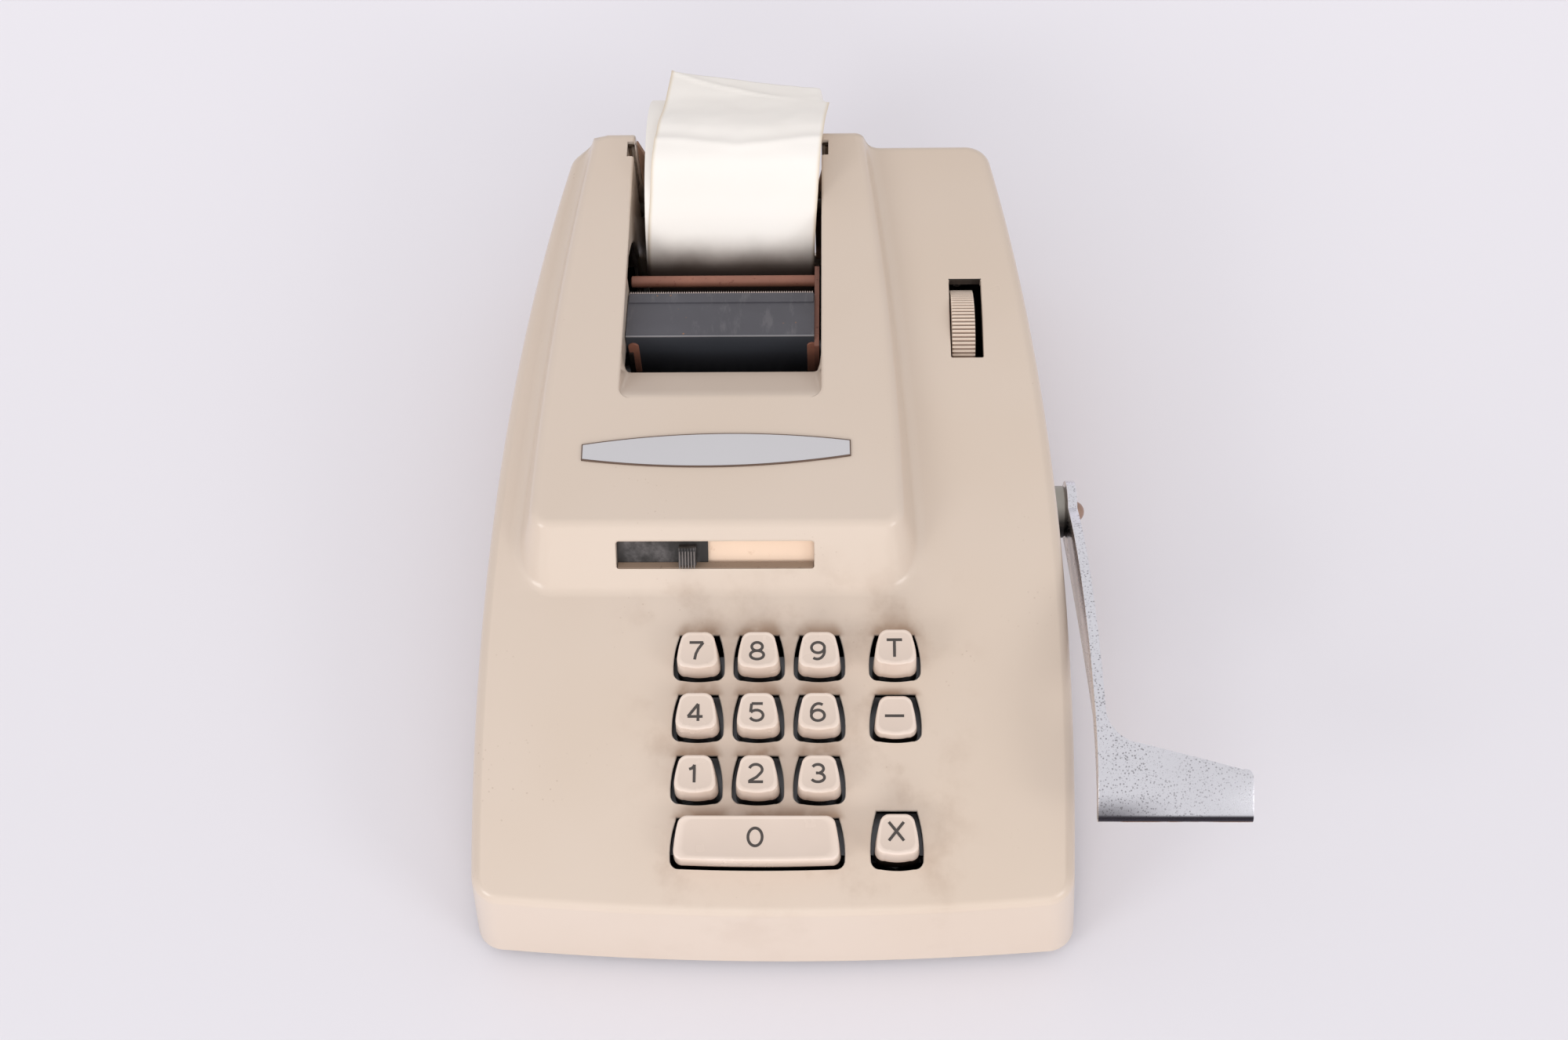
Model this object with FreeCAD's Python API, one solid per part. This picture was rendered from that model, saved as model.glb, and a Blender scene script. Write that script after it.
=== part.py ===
import FreeCAD, Part
import math
import os

# Hand-lever ten-key adding machine, in millimetres: +X right, +Y to the rear, +Z up.
# While it is built, X = 0 is the cover's centre plane, Y = 0 its front corners and Z = 0 the table.
# At the end every piece is moved together, so that the origin is under the middle of the whole machine.

# Cover in plan, at its lower edge
cover_half_width = 98.5
cover_widest_y = 85.0
cover_side_radius = 1005.0
cover_front_radius = 1053.0
cover_front_bow = 3.7
cover_length = 281.0
cover_corner = 9.0
cover_draft_deg = 5.0
cover_lift = 4.0
cover_wall = 2.5
cover_rim_round = 3.0
form_top_z = 110.0

# Arched deck, by its height at the front edge, in the middle and at the rear edge
deck_front_z = 38.8
deck_middle_z = 68.4
deck_rear_z = 79.6
deck_rear_y = 274.0

# Raised hump that holds the indicator window and the paper well
hump_x = -18.2
hump_half_width = 59.5
hump_widest_y = 125.0
hump_side_radius = 1205.0
hump_side_lean_deg = 20.0
hump_front_lean_deg = 41.0
hump_front_y = 114.0
hump_front_z = 79.6
hump_rear_z = 88.4
hump_corner = 6.0
hump_rim_round = 4.0
hump_foot_round = 5.0

# Paper well, the scoop in front of it and the slots for the paper spindle
well_left_x = -51.5
well_right_x = 15.2
well_front_y = 176.5
well_floor_z = 12.0
well_corner = 3.0
well_cutout_y = 212.0
well_cutout_z = 50.0
well_cutout_radius = 33.0
scoop_front_y = 161.0
scoop_depth = 7.0
spindle_radius = 3.0
spindle_slot_gap = 0.3

# Screw bosses, screws, base plate and feet
boss_radius = 4.0
boss_front = (80.0, 16.0)
boss_rear = (66.0, 258.0)
screw_radius = 1.5
screw_length = 14.0
screw_head_radius = 3.0
screw_head_height = 2.0
screw_gap = 0.2
base_thickness = 1.5
base_gap = 0.4
foot_radius = 7.0
foot_height = 5.5
foot_front = (72.0, 28.0)
foot_rear = (58.0, 246.0)

# Name plate on the hump: a bare lens-shaped plate
plate_x = -18.8
plate_y = 141.0
plate_length = 87.2
plate_width = 13.0
plate_end_width = 6.0
plate_thickness = 0.8

# Steel side frames and what they carry
frame_left_x = -70.0
frame_right_x = 52.0
frame_thickness = 2.0
frame_front_y = 14.0
frame_rear_y = 250.0
frame_drop = 11.0
frame_gap = 0.3
tie_radius = 3.0
tie_places = [(20.0, 12.0), (128.0, 14.0), (222.0, 13.0)]

# Keyboard
key_pitch = 19.05
key_row_pitch = 19.6
key_first_x = -23.45
key_function_gap = 23.8
key_first_y = 19.9
key_last_y = 77.25
key_hole_width = 16.0
key_hole_rear_width = 12.4
key_hole_length = 15.0
key_hole_corner = 3.0
zero_hole_width = 53.6
zero_hole_length = 15.6
repeat_hole_length = 18.2
key_side_gap = 1.1
key_cap_draft = 0.9
key_height = 6.0
key_low_height = 2.6
key_skirt_depth = 6.0
key_dish_radius = 34.0
key_dish_depth = 0.7
key_cap_wall = 1.6
key_travel = 4.0
stem_width = 6.0
stem_thickness = 1.6
stem_grip = 4.0
stem_gap = 0.02
stem_tail = 2.0
stem_collar_width = 9.0
stem_collar_height = 1.5
key_boss_wall = 1.4
guide_upper_depth = 13.0
guide_lower_depth = 27.0
guide_thickness = 1.5
guide_slot_gap = 0.3
guide_front = 31.0
guide_rear = 33.0
spring_radius = 4.2
spring_wire = 0.6
spring_turns = 3
spring_steps = 8

# Indicator window in the hump's front slope, with its slide and scale
window_left_x = -50.3
window_right_x = 13.0
window_z = 72.0
window_height = 8.8
slide_thickness = 0.8
slide_gap = 0.5
slide_left_x = -71.5
slide_right_x = -21.0
slide_above = 5.0
slide_below = 8.2
knob_left_x = -30.2
knob_right_x = -24.6
knob_length = 5.8
knob_ribs = 6
scale_thickness = 1.0
scale_gap = 0.3
scale_margin = 3.0
scale_below = 5.3
scale_above = 8.5
scale_boss_length = 5.0

# Stop-pin carriage that carries the slide
carriage_left_x = -60.0
carriage_length = 38.0
carriage_front_y = 94.0
carriage_rear_y = 110.0
carriage_low_z = 24.0
carriage_high_z = 52.0
carriage_pin_columns = 9
carriage_pin_rows = 5
carriage_pin_width = 1.4
carriage_pin_length = 3.0
rail_radius = 2.5
rail_heights = (30.0, 46.0)
rail_y = 102.0
running_gap = 0.05

# Printing head: platen, tear plate, guide bar and their side brackets
platen_y = 199.0
platen_z = 58.0
platen_radius = 8.0
platen_left_x = -46.0
platen_right_x = 8.5
platen_shaft_radius = 3.0
feed_wheel_radius = 20.0
feed_wheel_left_x = 59.4
feed_wheel_width = 8.0
feed_wheel_ribs = 90
feed_wheel_rib_depth = 0.5
feed_slot_left_x = 59.0
feed_slot_right_x = 70.0
feed_slot_front_y = 183.0
feed_slot_rear_y = 214.3
bracket_thickness = 1.6
bracket_side_gap = 0.8
bracket_front_y = 188.0
bracket_rear_y = 222.0
bracket_low_z = 44.0
bracket_high_z = 76.0
tear_plate_thickness = 1.2
tear_fold_y = 189.4
tear_rear_y = 208.5
tear_fold_z = 78.2
tear_rear_z = 76.8
tear_low_z = 55.0
tear_blade_width = 4.0
tear_blade_thickness = 0.6
tear_tooth_pitch = 0.8
tear_tooth_depth = 0.8
guide_bar_y = 218.0
guide_bar_z = 72.0
guide_bar_radius = 2.0

# Type sectors and the gears that swing them
type_shaft_y = 172.3
type_shaft_z = 27.9
type_shaft_radius = 3.0
type_radius = 30.7
type_hub_radius = 7.0
type_sector_count = 10
type_sector_pitch = 4.2
type_sector_thickness = 1.2
type_first_x = -38.0
type_sweep_deg = 70.0
type_teeth = 10
gear_module = 1.0
drive_teeth = 36
type_gear_teeth = 24
gear_x = 44.0
gear_width = 4.0

# Crank: main shaft, hub, arm with its grip, and the screw that holds it
crank_y = 144.0
crank_z = 37.9
crank_side_gap = -0.5
crank_inner_x = cover_half_width + crank_side_gap
crank_arm_thickness = 3.2
crank_end_radius = 10.6
crank_hub_radius = 8.0
crank_hub_left_x = 88.0
crank_hole_gap = 0.8
main_shaft_radius = 5.0
bush_flange_radius = 8.0
bush_length = 5.0
grip_right_x = 144.0
grip_outer_width = 13.0
grip_inner_width = 21.0
grip_corner = 8.0
grip_thickness = 3.6
crank_screw_radius = 2.0
crank_screw_head_radius = 3.4
crank_screw_head_height = 2.4

# Paper: roll on its spindle, and the loose tape over it
roll_y = 265.5
roll_z = 56.0
roll_radius = 39.0
roll_bore = 6.0
roll_left_x = -46.6
roll_width = 58.5
tape_thickness = 0.4
tape_left_x = -46.2
tape_drift = 0.1
tape_path = [
    (208.0, 60.5), (215.0, 64.6), (221.9, 69.5), (224.3, 74.5), (231.5, 82.3), (242.3, 91.0),
    (252.0, 97.8), (260.5, 99.9), (270.0, 98.6), (284.0, 92.4), (298.0, 87.0),
]


def vec(x, y, z):
    return FreeCAD.Vector(x, y, z)


def box(x0, x1, y0, y1, z0, z1):
    return Part.makeBox(x1 - x0, y1 - y0, z1 - z0, vec(x0, y0, z0))


def rod_x(x0, x1, y, z, radius):
    return Part.makeCylinder(radius, x1 - x0, vec(x0, y, z), vec(1, 0, 0))


def rod_z(x, y, z0, z1, radius):
    return Part.makeCylinder(radius, z1 - z0, vec(x, y, z0), vec(0, 0, 1))


def arc(first, middle, last):
    return Part.Arc(first, middle, last).toShape()


def line(first, last):
    return Part.LineSegment(first, last).toShape()


def joined(shapes):
    whole = shapes[0]
    for shape in shapes[1:]:
        whole = whole.fuse(shape)
    return whole.removeSplitter()


def group(shapes):
    return Part.makeCompound(shapes)


def yz_plate(x0, x1, points):
    """A plate of constant thickness along X whose outline is drawn in Y and Z."""
    corners = [vec(x0, y, z) for y, z in points]
    corners.append(corners[0])
    return Part.Face(Part.makePolygon(corners)).extrude(vec(x1 - x0, 0, 0))


def tilted(shape, y, z, degrees):
    """Turn a shape about the X axis through the origin, then carry it to (y, z)."""
    turned = shape.copy()
    turned.rotate(vec(0, 0, 0), vec(1, 0, 0), degrees)
    turned.translate(vec(0, y, z))
    return turned


def circle_through(first, middle, last):
    """Centre and radius of the circle through three (y, z) points."""
    (y1, z1), (y2, z2), (y3, z3) = first, middle, last
    twist = 2 * (y1 * (z2 - z3) + y2 * (z3 - z1) + y3 * (z1 - z2))
    s1 = y1 * y1 + z1 * z1
    s2 = y2 * y2 + z2 * z2
    s3 = y3 * y3 + z3 * z3
    yc = (s1 * (z2 - z3) + s2 * (z3 - z1) + s3 * (z1 - z2)) / twist
    zc = (s1 * (y3 - y2) + s2 * (y1 - y3) + s3 * (y2 - y1)) / twist
    return yc, zc, math.hypot(y1 - yc, z1 - zc)


deck_arc = circle_through((0, deck_front_z), (deck_rear_y / 2, deck_middle_z), (deck_rear_y, deck_rear_z))


def deck_z(y, drop=0.0):
    yc, zc, radius = deck_arc
    return zc + math.sqrt((radius - drop) ** 2 - (y - yc) ** 2)


def hump_top_z(y):
    return hump_front_z + (hump_rear_z - hump_front_z) * (y - hump_front_y) / (deck_rear_y - hump_front_y)


def cover_side(y, inset):
    """Half the cover's width at y, on the outline drawn in by inset."""
    reach = cover_side_radius - inset
    return cover_half_width - cover_side_radius + math.sqrt(reach ** 2 - (y - cover_widest_y) ** 2)


def cover_front(x, inset):
    reach = cover_front_radius - inset
    return cover_front_radius - cover_front_bow - math.sqrt(reach ** 2 - x ** 2)


def cover_outline(z, inset):
    """The cover's plan outline: bowed front, bowed sides and a straight rear edge."""
    rear = cover_length - inset
    front = 0.0
    for _ in range(20):
        front = cover_front(cover_side(front, inset), inset)
    middle = (front + rear) / 2
    front_x = cover_side(front, inset)
    rear_x = cover_side(rear, inset)
    middle_x = cover_side(middle, inset)
    edges = [
        arc(vec(-front_x, front, z), vec(0, cover_front(0, inset), z), vec(front_x, front, z)),
        arc(vec(front_x, front, z), vec(middle_x, middle, z), vec(rear_x, rear, z)),
        line(vec(rear_x, rear, z), vec(-rear_x, rear, z)),
        arc(vec(-rear_x, rear, z), vec(-middle_x, middle, z), vec(-front_x, front, z)),
    ]
    return Part.Wire(edges)


def wall_inset(z, inset):
    return inset + (z - cover_lift) * math.tan(math.radians(cover_draft_deg))


def upright_edges(shape, rear_limit):
    """Edges that climb the full height of a loft and lie in front of rear_limit."""
    bounds = shape.BoundBox
    chosen = []
    for edge in shape.Edges:
        climb = edge.BoundBox.ZMax - edge.BoundBox.ZMin
        if climb > 0.9 * (bounds.ZMax - bounds.ZMin) and edge.CenterOfMass.y < rear_limit:
            chosen.append(edge)
    return chosen


def cover_block(inset, low_z, high_z):
    """The cover's leaning walls as a solid block, drawn in by inset."""
    wires = [cover_outline(z, wall_inset(z, inset)) for z in (low_z, high_z)]
    block = Part.makeLoft(wires, True, True)
    return block.makeFillet(cover_corner - inset, upright_edges(block, cover_length * 2))


def under_deck(drop):
    """Everything below the arched deck lowered by drop."""
    yc, zc, radius = deck_arc
    reach = form_top_z * 2
    barrel = rod_x(-reach, reach, yc, zc, radius - drop)
    return barrel.common(box(-reach, reach, -reach, cover_length + reach, -reach, form_top_z))


def hump_outline(z, inset):
    """The hump's plan outline at height z; it runs past the cover's rear wall."""
    spread = inset + (z - hump_front_z) * math.tan(math.radians(hump_side_lean_deg))
    lean = math.radians(hump_front_lean_deg)
    front = hump_front_y + (z - hump_front_z) * math.tan(lean) + inset / math.cos(lean)
    rear = cover_length + cover_corner
    middle = (front + rear) / 2
    reach = hump_side_radius - spread
    halves = []
    for y in (front, middle, rear):
        halves.append(hump_half_width - hump_side_radius + math.sqrt(reach ** 2 - (y - hump_widest_y) ** 2))
    front_x, middle_x, rear_x = halves
    edges = [
        line(vec(hump_x - front_x, front, z), vec(hump_x + front_x, front, z)),
        arc(vec(hump_x + front_x, front, z), vec(hump_x + middle_x, middle, z), vec(hump_x + rear_x, rear, z)),
        line(vec(hump_x + rear_x, rear, z), vec(hump_x - rear_x, rear, z)),
        arc(vec(hump_x - rear_x, rear, z), vec(hump_x - middle_x, middle, z), vec(hump_x - front_x, front, z)),
    ]
    return Part.Wire(edges)


def under_hump_top(drop):
    reach = form_top_z * 2
    front = -cover_corner
    rear = cover_length + 2 * cover_corner
    points = [(front, -reach), (rear, -reach), (rear, hump_top_z(rear) - drop), (front, hump_top_z(front) - drop)]
    return yz_plate(-reach, reach, points)


def hump_block(inset):
    """The hump down into the deck: leaning front and sides under a flat sloping top."""
    wires = [hump_outline(deck_front_z, inset), hump_outline(form_top_z, inset)]
    block = Part.makeLoft(wires, True, True)
    halfway = (cover_length + hump_front_y) / 2
    block = block.makeFillet(hump_corner - inset, upright_edges(block, halfway))
    return block.common(under_hump_top(inset))


def ends_on(edge, height):
    """True when both ends of an edge lie on the surface z = height(y)."""
    for vertex in edge.Vertexes:
        if abs(vertex.Z - height(vertex.Y)) > 0.01:
            return False
    return True


def hump_top_edges(hump):
    return [edge for edge in hump.Edges if ends_on(edge, hump_top_z) and edge.CenterOfMass.y < cover_length]


def hump_foot_edges(shape):
    """Edges where the hump's front and sides stand on the deck."""
    chosen = []
    for edge in shape.Edges:
        above = [f for f in shape.ancestorsOfType(edge, Part.Face) if f.CenterOfMass.z > deck_z(f.CenterOfMass.y) + 1]
        if ends_on(edge, deck_z) and above and edge.CenterOfMass.y < cover_length + cover_corner:
            chosen.append(edge)
    return chosen


def deck_rim_edges(form):
    """Edges where the deck meets the cover's outer walls."""
    chosen = []
    for edge in form.Edges:
        middle = edge.CenterOfMass
        beside = abs(middle.x) > cover_side(middle.y, 0) - cover_corner - cover_rim_round
        at_end = middle.y < cover_corner or middle.y > deck_rear_y - cover_corner
        if ends_on(edge, deck_z) and (beside or at_end):
            chosen.append(edge)
    return chosen


def outer_form():
    """The cover's outside as one rounded solid."""
    hump = hump_block(0.0)
    hump = hump.makeFillet(hump_rim_round, hump_top_edges(hump))
    form = under_deck(0.0).fuse(hump).removeSplitter()
    form = form.makeFillet(hump_foot_round, hump_foot_edges(form))
    form = form.common(cover_block(0.0, cover_lift, form_top_z))
    return form.makeFillet(cover_rim_round, deck_rim_edges(form))


def inner_form():
    """The room inside the cover, one wall in from the outside and open below."""
    room = under_deck(cover_wall).fuse(hump_block(cover_wall))
    return room.common(cover_block(cover_wall, -cover_lift, form_top_z))


key_slope = (deck_z(key_last_y) - deck_z(key_first_y)) / (key_last_y - key_first_y)
key_tilt_deg = math.degrees(math.atan(key_slope))


def key_plane_z(y):
    return deck_z(key_first_y) + (y - key_first_y) * key_slope


def key_layout():
    """Name, X, Y, hole width, hole length and height over the deck of every key."""
    rise = key_row_pitch * math.cos(math.radians(key_tilt_deg))
    function_x = key_first_x + 2 * key_pitch + key_function_gap
    keys = []
    for number in range(1, 10):
        column = (number - 1) % 3
        row = (number - 1) // 3 + 1
        place = (key_first_x + column * key_pitch, key_first_y + row * rise)
        keys.append((str(number), *place, key_hole_width, key_hole_length, key_height))
    keys.append(("0", key_first_x + key_pitch, key_first_y, zero_hole_width, zero_hole_length, key_height))
    keys.append(("total", function_x, key_first_y + 3 * rise, key_hole_width, key_hole_length, key_height))
    keys.append(("minus", function_x, key_first_y + 2 * rise, key_hole_width, key_hole_length, key_low_height))
    keys.append(("repeat", function_x, key_first_y, key_hole_width, repeat_hole_length, key_low_height))
    return keys


def barrel_wire(width, length, inset, height):
    """Key outline: narrow sharp rear, bowed sides and a bowed front with round corners."""
    front = width / 2 - inset
    rear = width / 2 - (key_hole_width - key_hole_rear_width) / 2 - inset
    back = length / 2 - inset
    corner = key_hole_corner
    swell = front - 0.25 * (front - rear)
    edges = [
        line(vec(-rear, back, height), vec(rear, back, height)),
        arc(vec(rear, back, height), vec(swell, 0.35 * back, height), vec(front, -back + corner, height)),
        arc(vec(front, -back + corner, height), vec(front - 0.28 * corner, -back + 0.3 * corner, height),
            vec(front - corner, -back + 0.05 * corner, height)),
        arc(vec(front - corner, -back + 0.05 * corner, height), vec(0, -back - 0.1 * corner, height),
            vec(corner - front, -back + 0.05 * corner, height)),
        arc(vec(corner - front, -back + 0.05 * corner, height), vec(0.28 * corner - front, -back + 0.3 * corner, height),
            vec(-front, -back + corner, height)),
        arc(vec(-front, -back + corner, height), vec(-swell, 0.35 * back, height), vec(-rear, back, height)),
    ]
    return Part.Wire(edges)


def barrel_prism(width, length, inset, low, high):
    return Part.Face(barrel_wire(width, length, inset, low)).extrude(vec(0, 0, high - low))


def on_key_plane(shape, x, y):
    placed = tilted(shape, y, key_plane_z(y), key_tilt_deg)
    placed.translate(vec(x, 0, 0))
    return placed


def slope_place(shape):
    """Carry a shape drawn flat at the origin to the middle of the indicator window."""
    lean = math.radians(hump_front_lean_deg)
    window_y = hump_front_y + (window_z - hump_front_z) * math.tan(lean)
    return tilted(shape, window_y, window_z, 90 - hump_front_lean_deg)


def well_cut():
    """The paper well, with round front corners, open above and to the rear."""
    well = box(well_left_x, well_right_x, well_front_y, cover_length * 2, well_floor_z, form_top_z)
    corners = [e for e in upright_edges(well, well_front_y + 1) if e.CenterOfMass.y < well_front_y + 1]
    return well.makeFillet(well_corner, corners)


def scoop_cut():
    points = [
        (scoop_front_y, hump_top_z(scoop_front_y)),
        (well_front_y, hump_top_z(well_front_y) - scoop_depth),
        (well_front_y + 2 * well_corner, hump_top_z(well_front_y) - scoop_depth),
        (well_front_y + 2 * well_corner, form_top_z),
        (scoop_front_y, form_top_z),
    ]
    return yz_plate(well_left_x, well_right_x, points)


def scoop_floor():
    drop = cover_wall
    front = scoop_front_y - cover_wall
    points = [
        (front, hump_top_z(front)),
        (front, hump_top_z(front) - drop),
        (well_front_y, hump_top_z(well_front_y) - scoop_depth - drop),
        (well_front_y + well_corner, hump_top_z(well_front_y) - scoop_depth - drop),
        (well_front_y + well_corner, hump_top_z(well_front_y)),
    ]
    return yz_plate(well_left_x - cover_wall, well_right_x + cover_wall, points)


def well_side(x0):
    """One side wall of the well, cut away round the end of the platen."""
    wall = box(x0, x0 + cover_wall, well_cutout_y, cover_length, well_floor_z, form_top_z)
    wall = wall.cut(rod_x(x0 - 1, x0 + cover_wall + 1, well_cutout_y, well_cutout_z, well_cutout_radius))
    rear = well_cutout_y + well_cutout_radius
    return wall.cut(box(x0 - 1, x0 + cover_wall + 1, well_cutout_y - 1, rear, 0, well_cutout_z))


def scoop_side(x0):
    points = [
        (scoop_front_y, hump_top_z(scoop_front_y)),
        (scoop_front_y, hump_top_z(scoop_front_y) - cover_wall),
        (well_front_y, hump_top_z(well_front_y) - scoop_depth - cover_wall),
        (well_cutout_y, hump_top_z(well_front_y) - scoop_depth - cover_wall),
        (well_cutout_y, hump_top_z(well_cutout_y)),
    ]
    return yz_plate(x0, x0 + cover_wall, points)


def spindle_slot(x0, x1):
    radius = spindle_radius + spindle_slot_gap
    middle = roll_z + spindle_slot_gap
    slot = box(x0, x1, roll_y - radius, roll_y + radius, middle, form_top_z)
    return slot.fuse(rod_x(x0, x1, roll_y, middle, radius))


def cover_boss_places():
    places = []
    for x, y in (boss_front, boss_rear):
        places.append((-x, y))
        places.append((x, y))
    return places


def base_top_z():
    return foot_height + base_thickness


def window_cut():
    depth = 4 * cover_wall
    half = window_height / 2
    return slope_place(box(window_left_x, window_right_x, -half, half, -depth, depth))


def scale_bosses():
    """Two pads under the front slope that hold the indicator scale."""
    low = -cover_wall - slide_gap - slide_thickness - scale_gap
    pads = []
    for x in (window_left_x, window_right_x - scale_boss_length):
        pad = box(x, x + scale_boss_length, slide_above + 0.8, scale_above, low, -cover_wall / 2)
        pads.append(slope_place(pad))
    return pads


def make_cover():
    outside = outer_form()
    cover = outside.cut(inner_form())
    inside = [scoop_floor()]
    for x0 in (well_left_x - cover_wall, well_right_x):
        inside.append(well_side(x0))
        inside.append(scoop_side(x0))
    for x, y in cover_boss_places():
        inside.append(rod_z(x, y, base_top_z(), form_top_z, boss_radius))
    inside.extend(scale_bosses())
    for piece in inside:
        cover = cover.fuse(piece.common(outside))
    cuts = [well_cut(), scoop_cut(), window_cut()]
    cuts.append(spindle_slot(well_left_x - cover_wall - 1, well_left_x + 1))
    cuts.append(spindle_slot(well_right_x - 1, well_right_x + cover_wall + 1))
    cuts.append(box(feed_slot_left_x, feed_slot_right_x, feed_slot_front_y, feed_slot_rear_y, platen_z, form_top_z))
    cuts.append(rod_x(0, crank_inner_x + 1, crank_y, crank_z, crank_hub_radius + crank_hole_gap))
    for x, y in cover_boss_places():
        cuts.append(rod_z(x, y, 0, base_top_z() + screw_length, screw_radius))
    for name, x, y, width, length, height in key_layout():
        depth = 4 * cover_wall
        cuts.append(on_key_plane(barrel_prism(width, length, 0.0, -depth, depth), x, y))
    return cover.cut(group(cuts)).removeSplitter()


def make_base():
    low = foot_height
    inset = wall_inset(low, cover_wall + base_gap)
    plate = Part.Face(cover_outline(low, inset)).extrude(vec(0, 0, base_thickness))
    plate = plate.makeFillet(cover_corner - cover_wall, upright_edges(plate, cover_length * 2))
    for x, y in cover_boss_places():
        plate = plate.cut(rod_z(x, y, low - 1, base_top_z() + 1, screw_radius + screw_gap))
    return plate


def make_feet():
    feet = []
    for x, y in (foot_front, foot_rear):
        for side in (-1, 1):
            foot = Part.makeCone(foot_radius - 1, foot_radius, foot_height, vec(side * x, y, 0))
            feet.append(foot)
    return group(feet)


def make_cover_screws():
    screws = []
    for x, y in cover_boss_places():
        shank = rod_z(x, y, foot_height, base_top_z() + screw_length - 1, screw_radius - 0.05)
        head = rod_z(x, y, foot_height - screw_head_height, foot_height, screw_head_radius)
        screws.append(shank.fuse(head).removeSplitter())
    return group(screws)


def lens_face(length, width, end_width):
    half = length / 2
    end = end_width / 2
    edges = [
        line(vec(-half, end, 0), vec(-half, -end, 0)),
        arc(vec(-half, -end, 0), vec(0, -width / 2, 0), vec(half, -end, 0)),
        line(vec(half, -end, 0), vec(half, end, 0)),
        arc(vec(half, end, 0), vec(0, width / 2, 0), vec(-half, end, 0)),
    ]
    return Part.Face(Part.Wire(edges))


def make_name_plate():
    slope = math.degrees(math.atan((hump_rear_z - hump_front_z) / (deck_rear_y - hump_front_y)))
    plate = lens_face(plate_length, plate_width, plate_end_width).extrude(vec(0, 0, plate_thickness))
    plate = tilted(plate, plate_y, hump_top_z(plate_y), slope)
    plate.translate(vec(plate_x, 0, 0))
    return plate


def frame_outline():
    """Side frame outline: flat foot, top edge following the arched deck."""
    points = [(frame_front_y, base_top_z())]
    steps = 6
    for step in range(steps + 1):
        y = frame_front_y + (frame_rear_y - frame_front_y) * step / steps
        points.append((y, deck_z(y) - frame_drop))
    points.append((frame_rear_y, base_top_z()))
    return points


def make_frame(x0):
    """One steel side frame with its shaft holes and two lightening windows."""
    frame = yz_plate(x0, x0 + frame_thickness, frame_outline())
    holes = [(crank_y, crank_z, main_shaft_radius + 2), (type_shaft_y, type_shaft_z, type_shaft_radius + running_gap)]
    holes.append((platen_y, platen_z, platen_shaft_radius + running_gap))
    for y, z, radius in holes:
        frame = frame.cut(rod_x(x0 - 1, x0 + frame_thickness + 1, y, z, radius))
    return frame


def make_ties():
    ties = []
    for y, z in tie_places:
        ties.append(rod_x(frame_left_x + frame_thickness, frame_right_x, y, z, tie_radius))
    return group(ties)


def make_bushes():
    """Flanged bushes that carry the main shaft in the two frames."""
    bushes = []
    for x0, side in ((frame_left_x, 1), (frame_right_x, 1)):
        sleeve = rod_x(x0, x0 + frame_thickness + bush_length, crank_y, crank_z, main_shaft_radius + 2)
        flange = rod_x(x0 + frame_thickness, x0 + frame_thickness + 1.5, crank_y, crank_z, bush_flange_radius)
        bore = rod_x(x0 - 1, x0 + frame_thickness + bush_length + 1, crank_y, crank_z, main_shaft_radius + running_gap)
        bushes.append(sleeve.fuse(flange).cut(bore).removeSplitter())
    return group(bushes)


def guide_centre_y():
    return (key_first_y + key_last_y) / 2


def make_guide(depth):
    """A key guide plate between the frames, parallel to the keyboard, with one slot per stem."""
    x0 = frame_left_x + frame_thickness
    y = guide_centre_y()
    plate = box(x0, frame_right_x, -guide_front, guide_rear, -depth - guide_thickness, -depth)
    plate = tilted(plate, y, key_plane_z(y), key_tilt_deg)
    for name, x, key_y, width, length, height in key_layout():
        half_w = stem_width / 2 + guide_slot_gap
        half_t = stem_thickness / 2 + guide_slot_gap
        slot = box(-half_w, half_w, -half_t, half_t, -depth - 3 * guide_thickness, -depth + 2 * guide_thickness)
        plate = plate.cut(on_key_plane(slot, x, key_y))
    return plate


def make_key_cap(width, length, height):
    """Cap drawn on the deck plane: leaning skirt, dished top and a hollow underside with a boss."""
    low, high = -key_skirt_depth, height
    skirt = [barrel_wire(width, length, key_side_gap, low), barrel_wire(width, length, key_side_gap + key_cap_draft, high)]
    cap = Part.makeLoft(skirt, True, True)
    dish_z = high - key_dish_depth + key_dish_radius
    reach = width
    dish = rod_x(-reach, reach, 0, dish_z, key_dish_radius)
    cap = cap.cut(dish)
    hollow = barrel_prism(width, length, key_side_gap + key_cap_draft + key_cap_wall, low - 1, high - 2 * key_cap_wall)
    boss_w = stem_width / 2 + key_boss_wall
    boss_t = stem_thickness / 2 + key_boss_wall
    boss = box(-boss_w, boss_w, -boss_t, boss_t, low, high - key_cap_wall)
    cap = cap.cut(hollow).fuse(boss)
    grip_w = stem_width / 2 + stem_gap
    grip_t = stem_thickness / 2 + stem_gap
    socket = box(-grip_w, grip_w, -grip_t, grip_t, low - 1, low + stem_grip)
    return cap.cut(socket).removeSplitter()


def make_key_stem():
    """Flat stem from the cap's boss down through both guide plates, with a collar for the spring."""
    half_w = stem_width / 2
    half_t = stem_thickness / 2
    low = -guide_lower_depth - guide_thickness - stem_tail
    stem = box(-half_w, half_w, -half_t, half_t, low, -key_skirt_depth + stem_grip)
    collar_top = -guide_upper_depth - guide_thickness - guide_slot_gap
    half_c = stem_collar_width / 2
    collar = box(-half_c, half_c, -half_t, half_t, collar_top - stem_collar_height, collar_top)
    return stem.fuse(collar).removeSplitter()


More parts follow.
